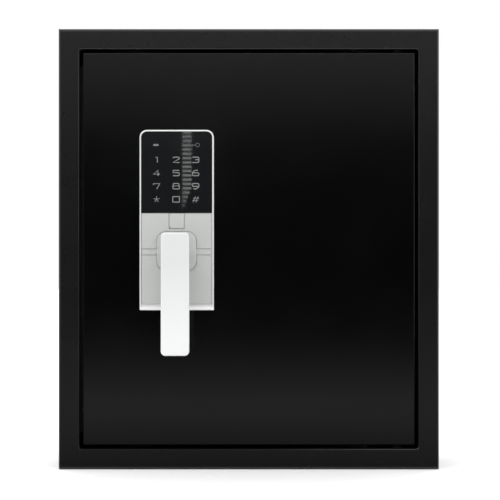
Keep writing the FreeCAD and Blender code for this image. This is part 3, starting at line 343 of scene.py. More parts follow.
def circuit_board(name):
    """Green solder mask over copper tracks."""
    material, tree, shader = new_finish(name)
    where = object_coordinates(tree)
    tracks = add_node(tree, "TexBrick", {
        "Vector": where, "Scale": 180.0, "Mortar Size": 0.03, "Mortar Smooth": 0.1,
        "Color1": (0.012, 0.075, 0.03, 1.0), "Color2": (0.014, 0.09, 0.036, 1.0),
        "Mortar": (0.03, 0.15, 0.06, 1.0),
    })
    tree.links.new(tracks.outputs["Color"], shader.inputs["Base Color"])
    tree.links.new(bump(tree, tracks.outputs["Fac"], 0.2, 0.1 * MM), shader.inputs["Normal"])
    set_inputs(shader, {"Roughness": 0.35})
    return material


def printed_ink(name, shade, roughness=0.45):
    """Screen-printed legend with a slightly uneven lay of ink."""
    material, tree, shader = new_finish(name)
    cover = noise(tree, object_coordinates(tree), 1500.0, 3.0)
    paler = tuple(min(1.0, 1.18 * part) for part in shade)
    tree.links.new(blend_colour(tree, cover, shade, paler), shader.inputs["Base Color"])
    tree.links.new(
        remap(tree, cover, roughness - 0.1, roughness + 0.1), shader.inputs["Roughness"]
    )
    return material


RECIPES = {
    # The frame's lip grey is a painted highlight.
    "frame_paint": (powder_coat, {
        "dark": (0.0020, 0.0020, 0.0021), "light": (0.0032, 0.0032, 0.0033),
        "roughness": 0.27, "specular": 0.42, "peel": 0.12, "wear_and_edge_highlight": 0.02, "lip": 0.03,
    }),
    # The door's rim gloss is a painted shade on its edges facing up and left.
    "door_paint": (powder_coat, {
        "dark": (0.0004, 0.0004, 0.0004), "light": (0.0008, 0.0008, 0.0008),
        "roughness": 0.14, "specular": 0.38, "peel": 0.06, "rim": 0.10,
    }),
    "box_paint": (powder_coat, {
        "dark": (0.005, 0.005, 0.0055), "light": (0.011, 0.011, 0.0115),
        "roughness": 0.42, "specular": 0.45, "peel": 0.35, "wear_and_edge_highlight": 0.03,
    }),
    "inner_paint": (powder_coat, {
        "dark": (0.007, 0.007, 0.0075), "light": (0.011, 0.011, 0.0115),
        "roughness": 0.45, "specular": 0.45, "peel": 0.4, "wear_and_edge_highlight": 0.03,
    }),
    # A darker, duller copy of the black paint for parts in the door gap: painted shade.
    "dull_paint": (powder_coat, {
        "dark": (0.0012, 0.0012, 0.0013), "light": (0.0022, 0.0022, 0.0023),
        "roughness": 0.6, "specular": 0.2, "peel": 0.4, "wear_and_edge_highlight": 0.02,
    }),
    # The die-cast foot grey is painted light from the floor.
    "die_cast_silver": (satin_silver, {
        "shade": (0.78, 0.79, 0.78), "warm": (0.82, 0.83, 0.82),
        "roughness": 0.34, "metallic": 0.42, "foot": (0.96, 0.96, 0.96),
    }),
    # The lever's tip grey is painted light.
    "lever_silver": (satin_silver, {
        "shade": (0.625, 0.645, 0.635), "warm": (0.655, 0.67, 0.66),
        "roughness": 0.38, "metallic": 0.12, "tip": (0.77, 0.78, 0.78),
    }),
    "plate_silver": (satin_silver, {
        "shade": (0.465, 0.48, 0.47), "warm": (0.505, 0.51, 0.50),
        "roughness": 0.45, "metallic": 0.15,
    }),
    "zinc_steel": (plated_steel, {
        "colour": (0.55, 0.57, 0.60), "tint": (0.66, 0.66, 0.65),
        "roughness": 0.30, "direction": (1.0, 1.0, 0.05),
    }),
    "bolt_chrome": (plated_steel, {
        "colour": (0.72, 0.73, 0.75), "tint": (0.78, 0.78, 0.79),
        "roughness": 0.16, "direction": (0.05, 1.0, 1.0),
    }),
    "brass": (plated_steel, {
        "colour": (0.66, 0.47, 0.20), "tint": (0.74, 0.56, 0.28), "roughness": 0.28,
    }),
    "black_rubber": (moulded, {
        "colour": (0.012, 0.012, 0.012), "worn": (0.022, 0.022, 0.022),
        "roughness": 0.75, "grain_scale": 900.0, "strength": 0.3,
    }),
    "black_plastic": (moulded, {
        "colour": (0.016, 0.016, 0.017), "worn": (0.026, 0.026, 0.027),
        "roughness": 0.5, "grain_scale": 1300.0, "strength": 0.35,
    }),
    "red_plastic": (moulded, {
        "colour": (0.42, 0.015, 0.015), "worn": (0.50, 0.03, 0.025),
        "roughness": 0.35, "grain_scale": 1300.0, "strength": 0.15,
    }),
    "cell_wrap": (moulded, {
        "colour": (0.05, 0.055, 0.065), "worn": (0.07, 0.075, 0.085),
        "roughness": 0.3, "grain_scale": 800.0, "strength": 0.08,
    }),
    "lens_white": (printed_ink, {"shade": (0.13, 0.13, 0.128), "roughness": 0.5}),
    "legend_ink": (printed_ink, {"shade": (0.165, 0.165, 0.16)}),
    "faint_ink": (printed_ink, {"shade": (0.085, 0.09, 0.088)}),
    "keypad_black_glass": (black_glass, {}),
    "circuit_board": (circuit_board, {}),
    "felt": (felt, {}),
    "thread": (moulded, {
        "colour": (0.05, 0.05, 0.052), "worn": (0.08, 0.08, 0.083),
        "roughness": 0.8, "grain_scale": 2500.0, "strength": 0.4,
    }),
}
FINISHES = {name: make(name, **settings) for name, (make, settings) in RECIPES.items()}

# Nodes that show in the gap round the door, given a darker, duller paint than their slot: painted
# shade, so that the gap reads dark.
GAP_SHADE = dict.fromkeys(
    ("door_stops", "strike_plate", "hinge_bushes", "hinge_pin_lower", "hinge_pin_upper"),
    "dull_paint",
)


def dress_frame():
    """Gives every CAD node the finish of its slot; the nodes in the door gap get the darker paint
    of painted shade.
    """
    for part in frame["record"]["subparts"]:
        node = nodes[part["node"]]
        node.data.materials.clear()
        node.data.materials.append(FINISHES[GAP_SHADE.get(part["node"], part["material_slot"])])


# ---- mesh building blocks ----------------------------------------------------

def add_piece(name, mesh, body, slot, finish=None):
    """Links a mesh as a piece of the object that rides on a body."""
    piece = bpy.data.objects.new(name, mesh)
    bpy.context.scene.collection.objects.link(piece)
    mesh.materials.clear()
    mesh.materials.append(FINISHES[finish or slot])
    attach(piece, body)
    return piece


def mesh_from_curve(name, lines, radius, closed=(), resolution=2):
    """Round strokes along lines, each a list of points, as one mesh."""
    curve = bpy.data.curves.new(name, "CURVE")
    curve.dimensions = "3D"
    curve.bevel_depth = radius
    curve.bevel_resolution = resolution
    curve.use_fill_caps = True
    for i, line in enumerate(lines):
        spline = curve.splines.new("POLY")
        spline.points.add(len(line) - 1)
        for point, place in zip(spline.points, line):
            point.co = (*place, 1.0)
        spline.use_cyclic_u = i in closed
    holder = bpy.data.objects.new(name, curve)
    bpy.context.scene.collection.objects.link(holder)
    graph = bpy.context.evaluated_depsgraph_get()
    mesh = bpy.data.meshes.new_from_object(holder.evaluated_get(graph))
    bpy.data.objects.remove(holder)
    mesh.polygons.foreach_set("use_smooth", [True] * len(mesh.polygons))
    return mesh


def finish_mesh(shape, name, degrees=35.0):
    """A mesh with outward normals, smooth but for edges sharper than the angle."""
    mesh = bpy.data.meshes.new(name)
    bmesh.ops.recalc_face_normals(shape, faces=shape.faces)
    shape.to_mesh(mesh)
    shape.free()
    mesh.polygons.foreach_set("use_smooth", [True] * len(mesh.polygons))
    mesh.set_sharp_from_angle(angle=math.radians(degrees))
    return mesh


def modified(mesh, kind, other=None, **settings):
    """The mesh after one modifier; another mesh is the modifier's object."""
    holders = []
    for item in (mesh, other):
        if item is not None:
            holder = bpy.data.objects.new(item.name, item)
            bpy.context.scene.collection.objects.link(holder)
            holders.append(holder)
    modifier = holders[0].modifiers.new(kind, kind)
    for key, value in settings.items():
        setattr(modifier, key, value)
    if other is not None:
        modifier.object = holders[1]
    graph = bpy.context.evaluated_depsgraph_get()
    made = bpy.data.meshes.new_from_object(holders[0].evaluated_get(graph))
    made.name = mesh.name
    for holder in holders:
        bpy.data.objects.remove(holder)
    return made


HOME = {
    name: body
    for body, names in frame["record"]["behaviour"]["bodies"].items()
    for name in names
}
SLOTS = {part["node"]: part["material_slot"] for part in frame["record"]["subparts"]}
MERGE_DISTANCE = 1e-6
SHORTEST_EASED = 6 * MM
SHARP_ANGLE = math.radians(50)


def long_and_sharp(edge):
    if len(edge.link_faces) != 2 or edge.calc_length() < SHORTEST_EASED:
        return False
    return edge.calc_face_angle() > SHARP_ANGLE


def ease_edges(node, width):
    """A sheet-metal part with its long sharp edges rounded off, in place of the CAD node."""
    shape = bmesh.new()
    shape.from_mesh(nodes[node].data)
    bmesh.ops.remove_doubles(shape, verts=shape.verts, dist=MERGE_DISTANCE)
    bmesh.ops.dissolve_limit(
        shape, angle_limit=math.radians(1), verts=shape.verts, edges=shape.edges
    )
    sharp = [edge for edge in shape.edges if long_and_sharp(edge)]
    bmesh.ops.bevel(
        shape, geom=sharp, offset=width, segments=2, profile=0.5, affect="EDGES",
        clamp_overlap=False, miter_outer="SHARP", miter_inner="SHARP",
    )
    bmesh.ops.triangulate(shape, faces=[face for face in shape.faces if len(face.verts) > 4])
    mesh = finish_mesh(shape, node + "_eased")
    mesh = modified(mesh, "WEIGHTED_NORMAL", weight=100, keep_sharp=True)
    # Parts in the door gap take the paint of painted shade.
    piece = add_piece(node + "_eased", mesh, HOME[node], SLOTS[node], GAP_SHADE.get(node))
    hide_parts(node)


def turned(shape, profile, place, axis, segments):
    """Adds a turned solid: profile is (distance along the axis, radius) from end to end."""
    axis = Vector(axis).normalized()
    side = axis.orthogonal().normalized()
    other = axis.cross(side)
    rings = []
    for along, radius in profile:
        centre = Vector(place) + axis * along
        if not radius:
            rings.append([shape.verts.new(centre)])
            continue
        rings.append([
            shape.verts.new(
                centre + (side * math.cos(turn) + other * math.sin(turn)) * radius
            )
            for turn in (2 * math.pi * i / segments for i in range(segments))
        ])
    for low, high in zip(rings, rings[1:]):
        for i in range(segments):
            j = (i + 1) % segments
            corners = [
                low[i % len(low)], low[j % len(low)], high[j % len(high)], high[i % len(high)],
            ]
            corners = list(dict.fromkeys(corners))
            if len(corners) > 2:
                shape.faces.new(corners)
    for ring in (rings[0], rings[-1]):
        if len(ring) > 1:
            shape.faces.new(ring)


def centres(node):
    """The middle and size of every separate solid in a CAD node."""
    shape = bmesh.new()
    shape.from_mesh(nodes[node].data)
    bmesh.ops.remove_doubles(shape, verts=shape.verts, dist=MERGE_DISTANCE)
    left = set(shape.verts)
    found = []
    while left:
        start = min(left, key=lambda vertex: vertex.index)
        island = {start}
        waiting = [start]
        while waiting:
            for edge in waiting.pop().link_edges:
                for vertex in edge.verts:
                    if vertex not in island:
                        island.add(vertex)
                        waiting.append(vertex)
        left -= island
        low = Vector([min(vertex.co[i] for vertex in island) for i in range(3)])
        high = Vector([max(vertex.co[i] for vertex in island) for i in range(3)])
        found.append(((low + high) / 2, high - low))
    shape.free()
    return sorted(found, key=lambda item: tuple(round(part, 5) for part in item[0]))


# ---- sheet metal -------------------------------------------------------------

# Nodes with eased edges, and the width of each one's easing in millimetres.
EASED = {
    "door_plate": 0.5, "body_shell": 0.8, "back_panel": 0.6, "rear_cover": 0.6, "door_pan": 0.5,
    "dead_bar": 0.6, "shelf_lower": 0.4, "shelf_upper": 0.4, "battery_door": 0.4,
    "battery_rails": 0.25, "hinge_block_lower": 0.5, "hinge_block_upper": 0.5, "door_stops": 0.4,
    "strike_plate": 0.5,
}

BEAD_STEP = 0.4 * MM
BEAD_RIPPLE = 2.4 * MM
BEAD_FACETS = 6
STITCH_LENGTH = 22 * MM
SIDE_STITCHES = [i * 0.090 for i in range(-2, 3)]
END_STITCHES = [i * 0.115 for i in range(-1, 2)]
# Where a seam has a shift, a side stitch goes up by half of it, or down from this height on.
TOP_STITCH = 0.1
SPOT_PITCH = 0.060
SPOT_ROW = 0.020


def weld_bead(shape, start, stop, first, second, size):
    """A stitch of rippled weld in the corner between two faces with these outward normals."""
    run = stop - start
    length = run.length
    count = max(8, round(length / BEAD_STEP))
    rings = []
    for i in range(count + 1):
        part = i / count
        end_fade = min(1.0, 6.0 * part, 6.0 * (1.0 - part)) ** 0.5
        ripple = 0.72 + 0.28 * abs(math.sin(math.pi * length * part / BEAD_RIPPLE))
        wander = 1.0 + 0.06 * math.sin(17.0 * part + start.x * 90 + start.z * 70)
        reach = size * max(0.05, end_fade) * ripple * wander
        centre = start + run * part
        ring = []
        for step in range(BEAD_FACETS + 1):
            turn = math.pi / 2 * step / BEAD_FACETS
            bulge = reach * (1.0 - 0.12 * math.sin(2 * turn))
            ring.append(shape.verts.new(
                centre + (first * math.cos(turn) + second * math.sin(turn)) * bulge
            ))
        ring.append(shape.verts.new(centre - (first + second) * 0.1 * MM))
        rings.append(ring)
    for low, high in zip(rings, rings[1:]):
        for i in range(len(low)):
            j = (i + 1) % len(low)
            shape.faces.new((low[i], low[j], high[j], high[i]))
    shape.faces.new(rings[0])
    shape.faces.new(rings[-1])


def weld_beads():
    """Stitches where the box meets the flange, and along the back panel's seam."""
    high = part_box("body_shell")[1]
    inward = Vector((0, -1, 0))
    seams = (
        ("flange_welds", 0.0, -inward, 1.7 * MM, 0.0),
        ("back_welds", high.y, inward, 0.6 * MM, 0.045),
    )
    for name, seam, away, size, shift in seams:
        shape = bmesh.new()
        for side in (-1, 1):
            for level in SIDE_STITCHES:
                level = level + shift * (level < TOP_STITCH) - shift / 2
                place = Vector((high.x * side, seam, level))
                run = Vector((0, 0, STITCH_LENGTH / 2))
                weld_bead(shape, place - run, place + run, Vector((side, 0, 0)), away, size)
            for across in END_STITCHES:
                place = Vector((across + shift, seam, high.z * side))
                run = Vector((STITCH_LENGTH / 2, 0, 0))
                weld_bead(shape, place - run, place + run, Vector((0, 0, side)), away, size)
        add_piece(name, finish_mesh(shape, name, 60.0), "safe_body", "box_paint")


def spot_welds():
    """Shallow dishes with a raised ring where the box is spot-welded to the jambs."""
    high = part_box("body_shell")[1]
    shape = bmesh.new()
    profile = [
        (-0.05, 3.4), (0.06, 3.3), (0.22, 2.9), (0.28, 2.6), (0.20, 2.2), (0.06, 1.6), (0.03, 0.0),
    ]
    profile = [(along * MM, radius * MM) for along, radius in profile]
    for side in (-1, 1):
        for i in range(7):
            place = (high.x * side, SPOT_ROW, (i - 3) * SPOT_PITCH)
            turned(shape, profile, place, (side, 0, 0), 24)
        for i in range(6):
            place = ((i - 2.5) * SPOT_PITCH, SPOT_ROW, high.z * side)
            turned(shape, profile, place, (0, 0, side), 24)
    add_piece("spot_welds", finish_mesh(shape, "spot_welds", 50.0), "safe_body", "box_paint")


# ---- turned parts ------------------------------------------------------------

RECESS_LENGTH = 3.6 * MM
RECESS_WIDTH = 0.95 * MM
SCREW_TURN = 0.7


def cross_recess(shape, bottom, top):
    """Cutter for a cross recess that widens from its bottom to its top along +Y."""
    for wide, tall in ((RECESS_LENGTH, RECESS_WIDTH), (RECESS_WIDTH, RECESS_LENGTH)):
        ends = []
        for along, scale in ((bottom, 0.45), (top, 1.0)):
            ends.append([
                shape.verts.new((x * wide / 2 * scale, along, z * tall / 2 * scale))
                for x, z in ((-1, -1), (1, -1), (1, 1), (-1, 1))
            ])
        low, high = ends
        for i in range(4):
            j = (i + 1) % 4
            shape.faces.new((low[i], low[j], high[j], high[i]))
        shape.faces.new(low[::-1])
        shape.faces.new(high)


def cover_screws():
    """Pan-head screws with a cross recess that hold the rear cover."""
    places = centres("cover_screws")
    centre, size = places[0]
    plate_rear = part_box("rear_cover")[1].y
    tall = centre.y + size.y / 2 - plate_rear
    radius = size.x / 2
    profile = [
        (0.0, radius), (0.30 * tall, radius), (0.62 * tall, 0.93 * radius),
        (0.86 * tall, 0.74 * radius), (0.97 * tall, 0.42 * radius), (tall, 0.0),
    ]
    head = bmesh.new()
    turned(head, profile, (0, 0, 0), (0, 1, 0), 40)
    recess = bmesh.new()
    cross_recess(recess, 0.35 * tall, tall + 0.3 * MM)
    carved = modified(
        finish_mesh(head, "screw_head"), "BOOLEAN", finish_mesh(recess, "screw_recess"),
        operation="DIFFERENCE", solver="EXACT",
    )
    heads = bmesh.new()
    for i, (centre, _) in enumerate(places):
        before = len(heads.verts)
        heads.from_mesh(carved)
        heads.verts.ensure_lookup_table()
        added = heads.verts[before:]
        turn = Matrix.Rotation(SCREW_TURN * i, 3, "Y")
        bmesh.ops.rotate(heads, verts=added, cent=(0, 0, 0), matrix=turn)
        bmesh.ops.translate(heads, verts=added, vec=(centre.x, plate_rear, centre.z))
    mesh = finish_mesh(heads, "cover_screw_heads")
    piece = add_piece("cover_screw_heads", mesh, "door", "zinc_steel")
    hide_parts("cover_screws")


def locking_bolts():
    """Three turned bolts with a chamfered nose, a turned groove and a centre mark."""
    shape = bmesh.new()
    for centre, size in centres("locking_bolts"):
        length, radius = size.x, size.y / 2
        full = radius / MM
        profile = [
            (0.9, 0.0), (0.0, 0.9), (0.0, full - 1.9), (0.5, full - 1.1), (1.7, full),
            (4.6, full), (4.8, full - 0.25), (5.2, full - 0.25), (5.4, full),
            (length / MM, full),
        ]
        profile = [(along * MM, reach * MM) for along, reach in profile]
        turned(shape, profile, centre - Vector((length / 2, 0, 0)), (1, 0, 0), 64)
    mesh = finish_mesh(shape, "turned_bolts", 25.0)
    piece = add_piece("turned_bolts", mesh, HOME["locking_bolts"], "bolt_chrome")
    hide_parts("locking_bolts")


def domed_pads():
    """Rubber pads, domed towards the door."""
    shape = bmesh.new()
    for centre, size in centres("door_bumpers"):
        radius, tall = size.x / 2, size.y
        foot = centre + Vector((0, tall / 2, 0))
        profile = [
            (0.0, radius), (0.35 * tall, radius), (0.75 * tall, 0.85 * radius),
            (0.95 * tall, 0.5 * radius), (tall, 0.0),
        ]
        turned(shape, profile, foot, (0, -1, 0), 28)
    mesh = finish_mesh(shape, "domed_pads")
    piece = add_piece("domed_pads", mesh, "safe_body", "black_rubber")
    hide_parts("door_bumpers")


def button_cap():
    """The red button's crowned end over its stem."""
    (centre, size), = centres("reset_button")
    front = centre.y - size.y / 2
    radius = 3.0
    collar = size.x / 2 / MM
    collar_rear = (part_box("rear_cover")[0].y - front) / MM - 0.5
    tall = size.y / MM
    profile = [
        (0.0, radius), (collar_rear - 2.0, radius), (collar_rear - 2.0, collar),
        (collar_rear, collar), (collar_rear, radius), (tall - 0.9, radius),
        (tall - 0.35, radius - 0.25), (tall - 0.08, radius - 0.9), (tall, 0.0),
    ]
    profile = [(along * MM, reach * MM) for along, reach in profile]
    shape = bmesh.new()
    turned(shape, profile, (centre.x, front, centre.z), (0, 1, 0), 36)
    mesh = finish_mesh(shape, "crowned_button")
    piece = add_piece("crowned_button", mesh, "reset_key", "red_plastic")
    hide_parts("reset_button")


ARROW_SHIFT = 9 * MM


def battery_mark():
    """A raised arrow on the battery door, pointing the way it slides."""
    low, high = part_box("battery_door")
    centre = Vector(((low.x + high.x) / 2 + ARROW_SHIFT, high.y, (low.z + high.z) / 2))
    outline = [(5, 0), (0, 4.5), (0, 1.6), (-5, 1.6), (-5, -1.6), (0, -1.6), (0, -4.5)]
    shape = bmesh.new()
    rings = []
    for rise, inset in ((-0.1, 1.0), (0.35, 1.0), (0.5, 0.9)):
        rings.append([
            shape.verts.new(centre + Vector((x * inset, rise, z * inset)) * MM) for x, z in outline
        ])
    for lower, upper in zip(rings, rings[1:]):
        for i in range(len(outline)):
            j = (i + 1) % len(outline)
            shape.faces.new((lower[i], lower[j], upper[j], upper[i]))
    shape.faces.new(rings[0])
    shape.faces.new(rings[-1])
    bmesh.ops.triangulate(shape, faces=[face for face in shape.faces if len(face.verts) > 4])
    mesh = finish_mesh(shape, "battery_door_arrow", 30.0)
    add_piece("battery_door_arrow", mesh, "battery_hatch", "black_plastic")


# ---- felt mat ----------------------------------------------------------------

MAT_COLUMNS = 180
MAT_ROWS = 40
MAT_ROUNDING = 1.8 * MM
STITCH_PITCH = 2.6 * MM
STITCH_INSET = 2.2 * MM
THREAD_RADIUS = 0.22 * MM


def mat_height(x, y, thick, inset):
    """The felt's height over the floor; inset is the distance from the nearest edge."""
    round_off = 1.0 - max(0.0, 1.0 - inset / MAT_ROUNDING) ** 2
    nap = 0.10 * MM * math.sin(1230 * x + 5 * math.sin(23 * y)) * math.sin(90 * y)
    sag = 0.22 * MM * (math.sin(31.0 * x + 2.0) * math.cos(47.0 * y) - 1.0)
    height = (thick + nap + sag - 0.1 * MM) * (0.35 + 0.65 * round_off)
    return min(height, thick)


def felt_mat():
    """The mat on the floor of the box: a soft nap, rounded edges and an overlocked rim."""
    low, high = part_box("floor_mat")
    wide, deep, thick = high - low
    columns, rows = MAT_COLUMNS, MAT_ROWS
    shape = bmesh.new()
    top = []
    bottom = []
    for j in range(rows + 1):
        for i in range(columns + 1):
            x = low.x + wide * i / columns
            y = low.y + deep * j / rows
            inset = min(x - low.x, high.x - x, y - low.y, high.y - y)
            top.append(shape.verts.new((x, y, low.z + mat_height(x, y, thick, inset))))
            bottom.append(shape.verts.new((x, y, low.z)))
    across = columns + 1
    for j in range(rows):
        for i in range(columns):
            a, b = j * across + i, j * across + i + 1
            c, d = b + across, a + across
            shape.faces.new((top[a], top[b], top[c], top[d]))
            shape.faces.new((bottom[a], bottom[d], bottom[c], bottom[b]))
    border = (
        list(range(columns + 1))
        + [j * across + columns for j in range(1, rows + 1)]
        + [rows * across + i for i in range(columns - 1, -1, -1)]
        + [j * across for j in range(rows - 1, 0, -1)]
    )
    for a, b in zip(border, border[1:] + border[:1]):
        shape.faces.new((top[a], bottom[a], bottom[b], top[b]))
    mat = add_piece("felt_mat", finish_mesh(shape, "felt_mat", 60.0), "safe_body", "felt")
    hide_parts("floor_mat")

    stitches = []
    for i in range(int((wide - 2 * STITCH_INSET) / STITCH_PITCH)):
        x = low.x + STITCH_INSET + (i + 0.5) * STITCH_PITCH
        for edge, inward in ((low.y, 1), (high.y, -1)):
            y = edge + inward * 0.5 * MM
            stitches.append([
                (x, y, low.z + 1.0 * MM),
                (x + 0.3 * MM, y + inward * 0.9 * MM, high.z - 0.55 * MM),
                (x + 0.9 * MM, y + inward * STITCH_INSET, high.z - 0.40 * MM),
            ])
    thread = mesh_from_curve("mat_overlock", stitches, THREAD_RADIUS, resolution=0)
    rim = add_piece("mat_overlock", thread, "safe_body", "felt", "thread")


# ---- keypad legend -----------------------------------------------------------

# Strokes in millimetres about each character's centre; a loop joins up.
SIX = [
    (2.4, 3.1), (-0.8, 3.1), (-3.3, 0.7), (-3.3, -2.3), (-2.5, -3.1), (2.5, -3.1), (3.3, -2.3),
    (3.3, -0.5), (2.5, 0.3), (-2.9, 0.3),
]
GLYPHS = {
    "1": ([[(-1.0, 2.7), (0.8, 3.1), (0.8, -3.1)]], []),
    "2": ([[
        (-3.3, 1.9), (-2.5, 3.1), (2.5, 3.1), (3.3, 2.3), (3.1, 1.1), (-3.3, -3.1), (3.4, -3.1),
    ]], []),
    "3": ([
        [(-3.3, 3.1), (2.5, 3.1), (3.3, 2.3), (3.3, -2.3), (2.5, -3.1), (-3.4, -3.1)],
        [(-0.4, 0.2), (3.2, 0.2)],
    ], []),
    "4": ([[(1.5, -3.3), (1.5, 3.2), (-3.5, -1.3), (3.5, -1.3)]], []),
    "5": ([[
        (3.2, 3.1), (-3.1, 3.1), (-3.1, 0.5), (2.5, 0.5), (3.3, -0.3), (3.3, -2.3), (2.5, -3.1),
        (-3.4, -3.1),
    ]], []),
    "6": ([SIX], []),
    "7": ([[(-3.4, 1.5), (-3.3, 3.0), (3.5, 3.0), (0.0, -3.3)]], []),
    "8": ([], [
        [(-2.3, 3.1), (2.3, 3.1), (3.1, 2.4), (3.1, 1.0), (2.3, 0.3), (-2.3, 0.3), (-3.1, 1.0),
         (-3.1, 2.4)],
        [(-2.6, 0.3), (2.6, 0.3), (3.4, -0.5), (3.4, -2.4), (2.6, -3.2), (-2.6, -3.2),
         (-3.4, -2.4), (-3.4, -0.5)],
    ]),
    "9": ([[(-across, -up) for across, up in SIX]], []),
    "0": ([], [
        [(-3.1, 3.2), (3.1, 3.2), (3.5, 2.8), (3.5, -2.8), (3.1, -3.2), (-3.1, -3.2),
         (-3.5, -2.8), (-3.5, 2.8)],
    ]),
}
DIGIT_ROWS = ("789", "456", "123")
DIGIT_WIDTH = 0.95
DIGIT_HEIGHT = 0.86

# The star, the hash and the key mark, in millimetres like the digits.
STAR_ARMS = 5
STAR_REACH = 3.1
HASH_REACH = (2.9, 3.1)
HASH_SLANT = 1.3
HASH_UPRIGHT = 1.35
HASH_BAR = (0.4, 1.1)
RING_RADIUS = 1.9
RING_SIDES = 16
KEY_MARK_RISE = 1.6

DIGIT_STROKE = 0.52 * MM
MARK_STROKE = 0.34 * MM
KEY_STROKE = 0.3 * MM
INK_FLATNESS = 0.06
KEY_PITCH = Vector((0.0195, 0, 0.01315))
KEY_FOOT = 0.0135
KEY_SHIFT = -0.0005


def keypad_spot(column, row):
    """The centre of a key; row 0 is the lowest."""
    low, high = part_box("keypad_glass")
    return Vector((
        (low.x + high.x) / 2 + KEY_SHIFT + (column - 1) * KEY_PITCH.x,
        low.y,
        low.z + KEY_FOOT + row * KEY_PITCH.z,
    ))


def flat_strokes(name, lines, loops, radius, finish):
    """Strokes pressed flat, so that they lie on the glass like ink."""
    closed = range(len(lines), len(lines) + len(loops))
    mesh = mesh_from_curve(name, lines + loops, radius, closed=closed)
    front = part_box("keypad_glass")[0].y
    for vertex in mesh.vertices:
        vertex.co.y = front + (vertex.co.y - front) * INK_FLATNESS
    add_piece(name, mesh, "door", "lens_white", finish)


def keypad_digits():
    """The ten printed digits, in three rows above the nought."""
    lines = []
    loops = []
    places = {"0": (1, 0)}
    for row, digits in enumerate(DIGIT_ROWS, 1):
        for column, digit in enumerate(digits):
            places[digit] = (column, row)
    for digit, (column, row) in places.items():
        centre = keypad_spot(column, row)
        for target, strokes in zip((lines, loops), GLYPHS[digit]):
            for stroke in strokes:
                target.append([
                    centre + Vector((x * DIGIT_WIDTH, 0, z * DIGIT_HEIGHT)) * MM for x, z in stroke
                ])
    flat_strokes("keypad_digits", lines, loops, DIGIT_STROKE, "legend_ink")


def keypad_marks():
    """The star and the slanted hash on either side of the nought."""
    star = keypad_spot(0, 0)
    marks = []
    for i in range(STAR_ARMS):
        turn = math.radians(90 + 360 / STAR_ARMS * i)
        tip = Vector((math.cos(turn), 0, math.sin(turn))) * STAR_REACH * MM
        marks.append([star, star + tip])
    centre = keypad_spot(2, 0)
    half_width, half_height = HASH_REACH
    for side in (-1, 1):
        foot = Vector((side * HASH_UPRIGHT - HASH_SLANT, 0, -half_height)) * MM
        top = Vector((side * HASH_UPRIGHT + HASH_SLANT, 0, half_height)) * MM
        marks.append([centre + foot, centre + top])
        bar = centre + Vector((side * HASH_BAR[0], 0, side * HASH_BAR[1])) * MM
        reach = Vector((half_width, 0, 0)) * MM
        marks.append([bar - reach, bar + reach])
    flat_strokes("keypad_marks", marks, [], MARK_STROKE, "legend_ink")


def keypad_key_mark():
    """A faint small key in the top right corner, its ring to the right."""
    centre = keypad_spot(2, 4) + Vector((0, 0, KEY_MARK_RISE)) * MM
    ring = []
    for i in range(RING_SIDES):
        turn = 2 * math.pi * i / RING_SIDES
        x, z = math.cos(turn) * RING_RADIUS + 1.8, math.sin(turn) * RING_RADIUS
        ring.append(centre + Vector((x, 0, z)) * MM)
    shaft = [centre + Vector((x, 0, 0)) * MM for x in (-0.1, -4.4)]
    bit = [centre + Vector((-3.4, 0, z)) * MM for z in (0, -1.6)]
    flat_strokes("keypad_key_mark", [shaft, bit], [ring], KEY_STROKE, "faint_ink")


# ---- camera, light and floor -------------------------------------------------

VIEW_WIDTH = 0.5028
VIEW_DISTANCE = 1.5
VIEW_CENTRE = (0.0012, -0.0011)

SKY_STRENGTHS = (1.0, 1.6)
SKY_HEIGHTS = (0.15, 0.75)
# name, place, width, height, power
LIGHTS = (
    ("key", (-1.5, -1.1, 1.9), 1.4, 1.0, 9.0),
    ("side", (2.0, -0.6, 0.4), 0.8, 1.6, 5.0),
)

FLOOR_LEVEL = cad_low.z - 0.5 * MM
FLOOR_RADIUS = 7.0
FLOOR_STEPS = 96

# The cloth and the screen: (distance from the safe or height, grey). Their greys are painted
# reflections: the cloth's stand in for the floor's light seen in the safe's gloss, and the
# screen's for a room dark behind the camera and brighter higher up.
CLOTH_SHADES = [
    (0.05, 0.10), (0.25, 0.20), (0.60, 0.36), (1.20, 0.16), (1.80, 0.02), (3.20, 0.01),
]
SCREEN_SHADES = [
    (0.00, 0.005), (0.30, 0.01), (0.42, 0.12), (0.52, 0.26), (0.66, 0.50), (1.50, 0.65),
]
SHEETS_LEVEL = FLOOR_LEVEL + 1.0 * MM
SHEETS_REACH = 3.0
CLOTH_START = -0.010
SCREEN_PLACE = -3.2
SCREEN_TOP = 1.5

# The slatted light: its left end is upright, and its right end is cut slantwise below.
SLAT_COUNT = 18
SLAT_PITCH = 0.0129
SLAT_FILL = 0.5
SLAT_PLACE = -3.0
SLAT_FOOT = 0.129
SLAT_LEFT = -0.201
SLAT_RIGHT = -0.174
SLAT_CUT = (-0.196, 0.0053)
SLAT_GLOW = {"Emission Color": (0.94, 1.0, 0.98, 1.0), "Emission Strength": 2.5}


def camera():
    """A level view from straight in front."""
    data = bpy.data.cameras.new("camera")
    data.sensor_width = 36.0
    data.lens = data.sensor_width * VIEW_DISTANCE / VIEW_WIDTH
    made = bpy.data.objects.new("camera", data)
    bpy.context.scene.collection.objects.link(made)
    flange_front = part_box("front_frame")[0].y
    across, height = VIEW_CENTRE
    made.location = (across, flange_front - VIEW_DISTANCE, height)
    made.rotation_euler = (math.radians(90), 0, 0)
    bpy.context.scene.camera = made


def area_light(name, place, width, height, power):
    """A soft light aimed at the middle of the safe."""
    data = bpy.data.lights.new(name, "AREA")
    data.shape = "RECTANGLE"
    data.size = width
    data.size_y = height
    data.energy = power
    made = bpy.data.objects.new(name, data)
    made.location = place
    made.rotation_euler = (-Vector(place)).to_track_quat("-Z", "Y").to_euler()
    made.visible_camera = False
    bpy.context.scene.collection.objects.link(made)


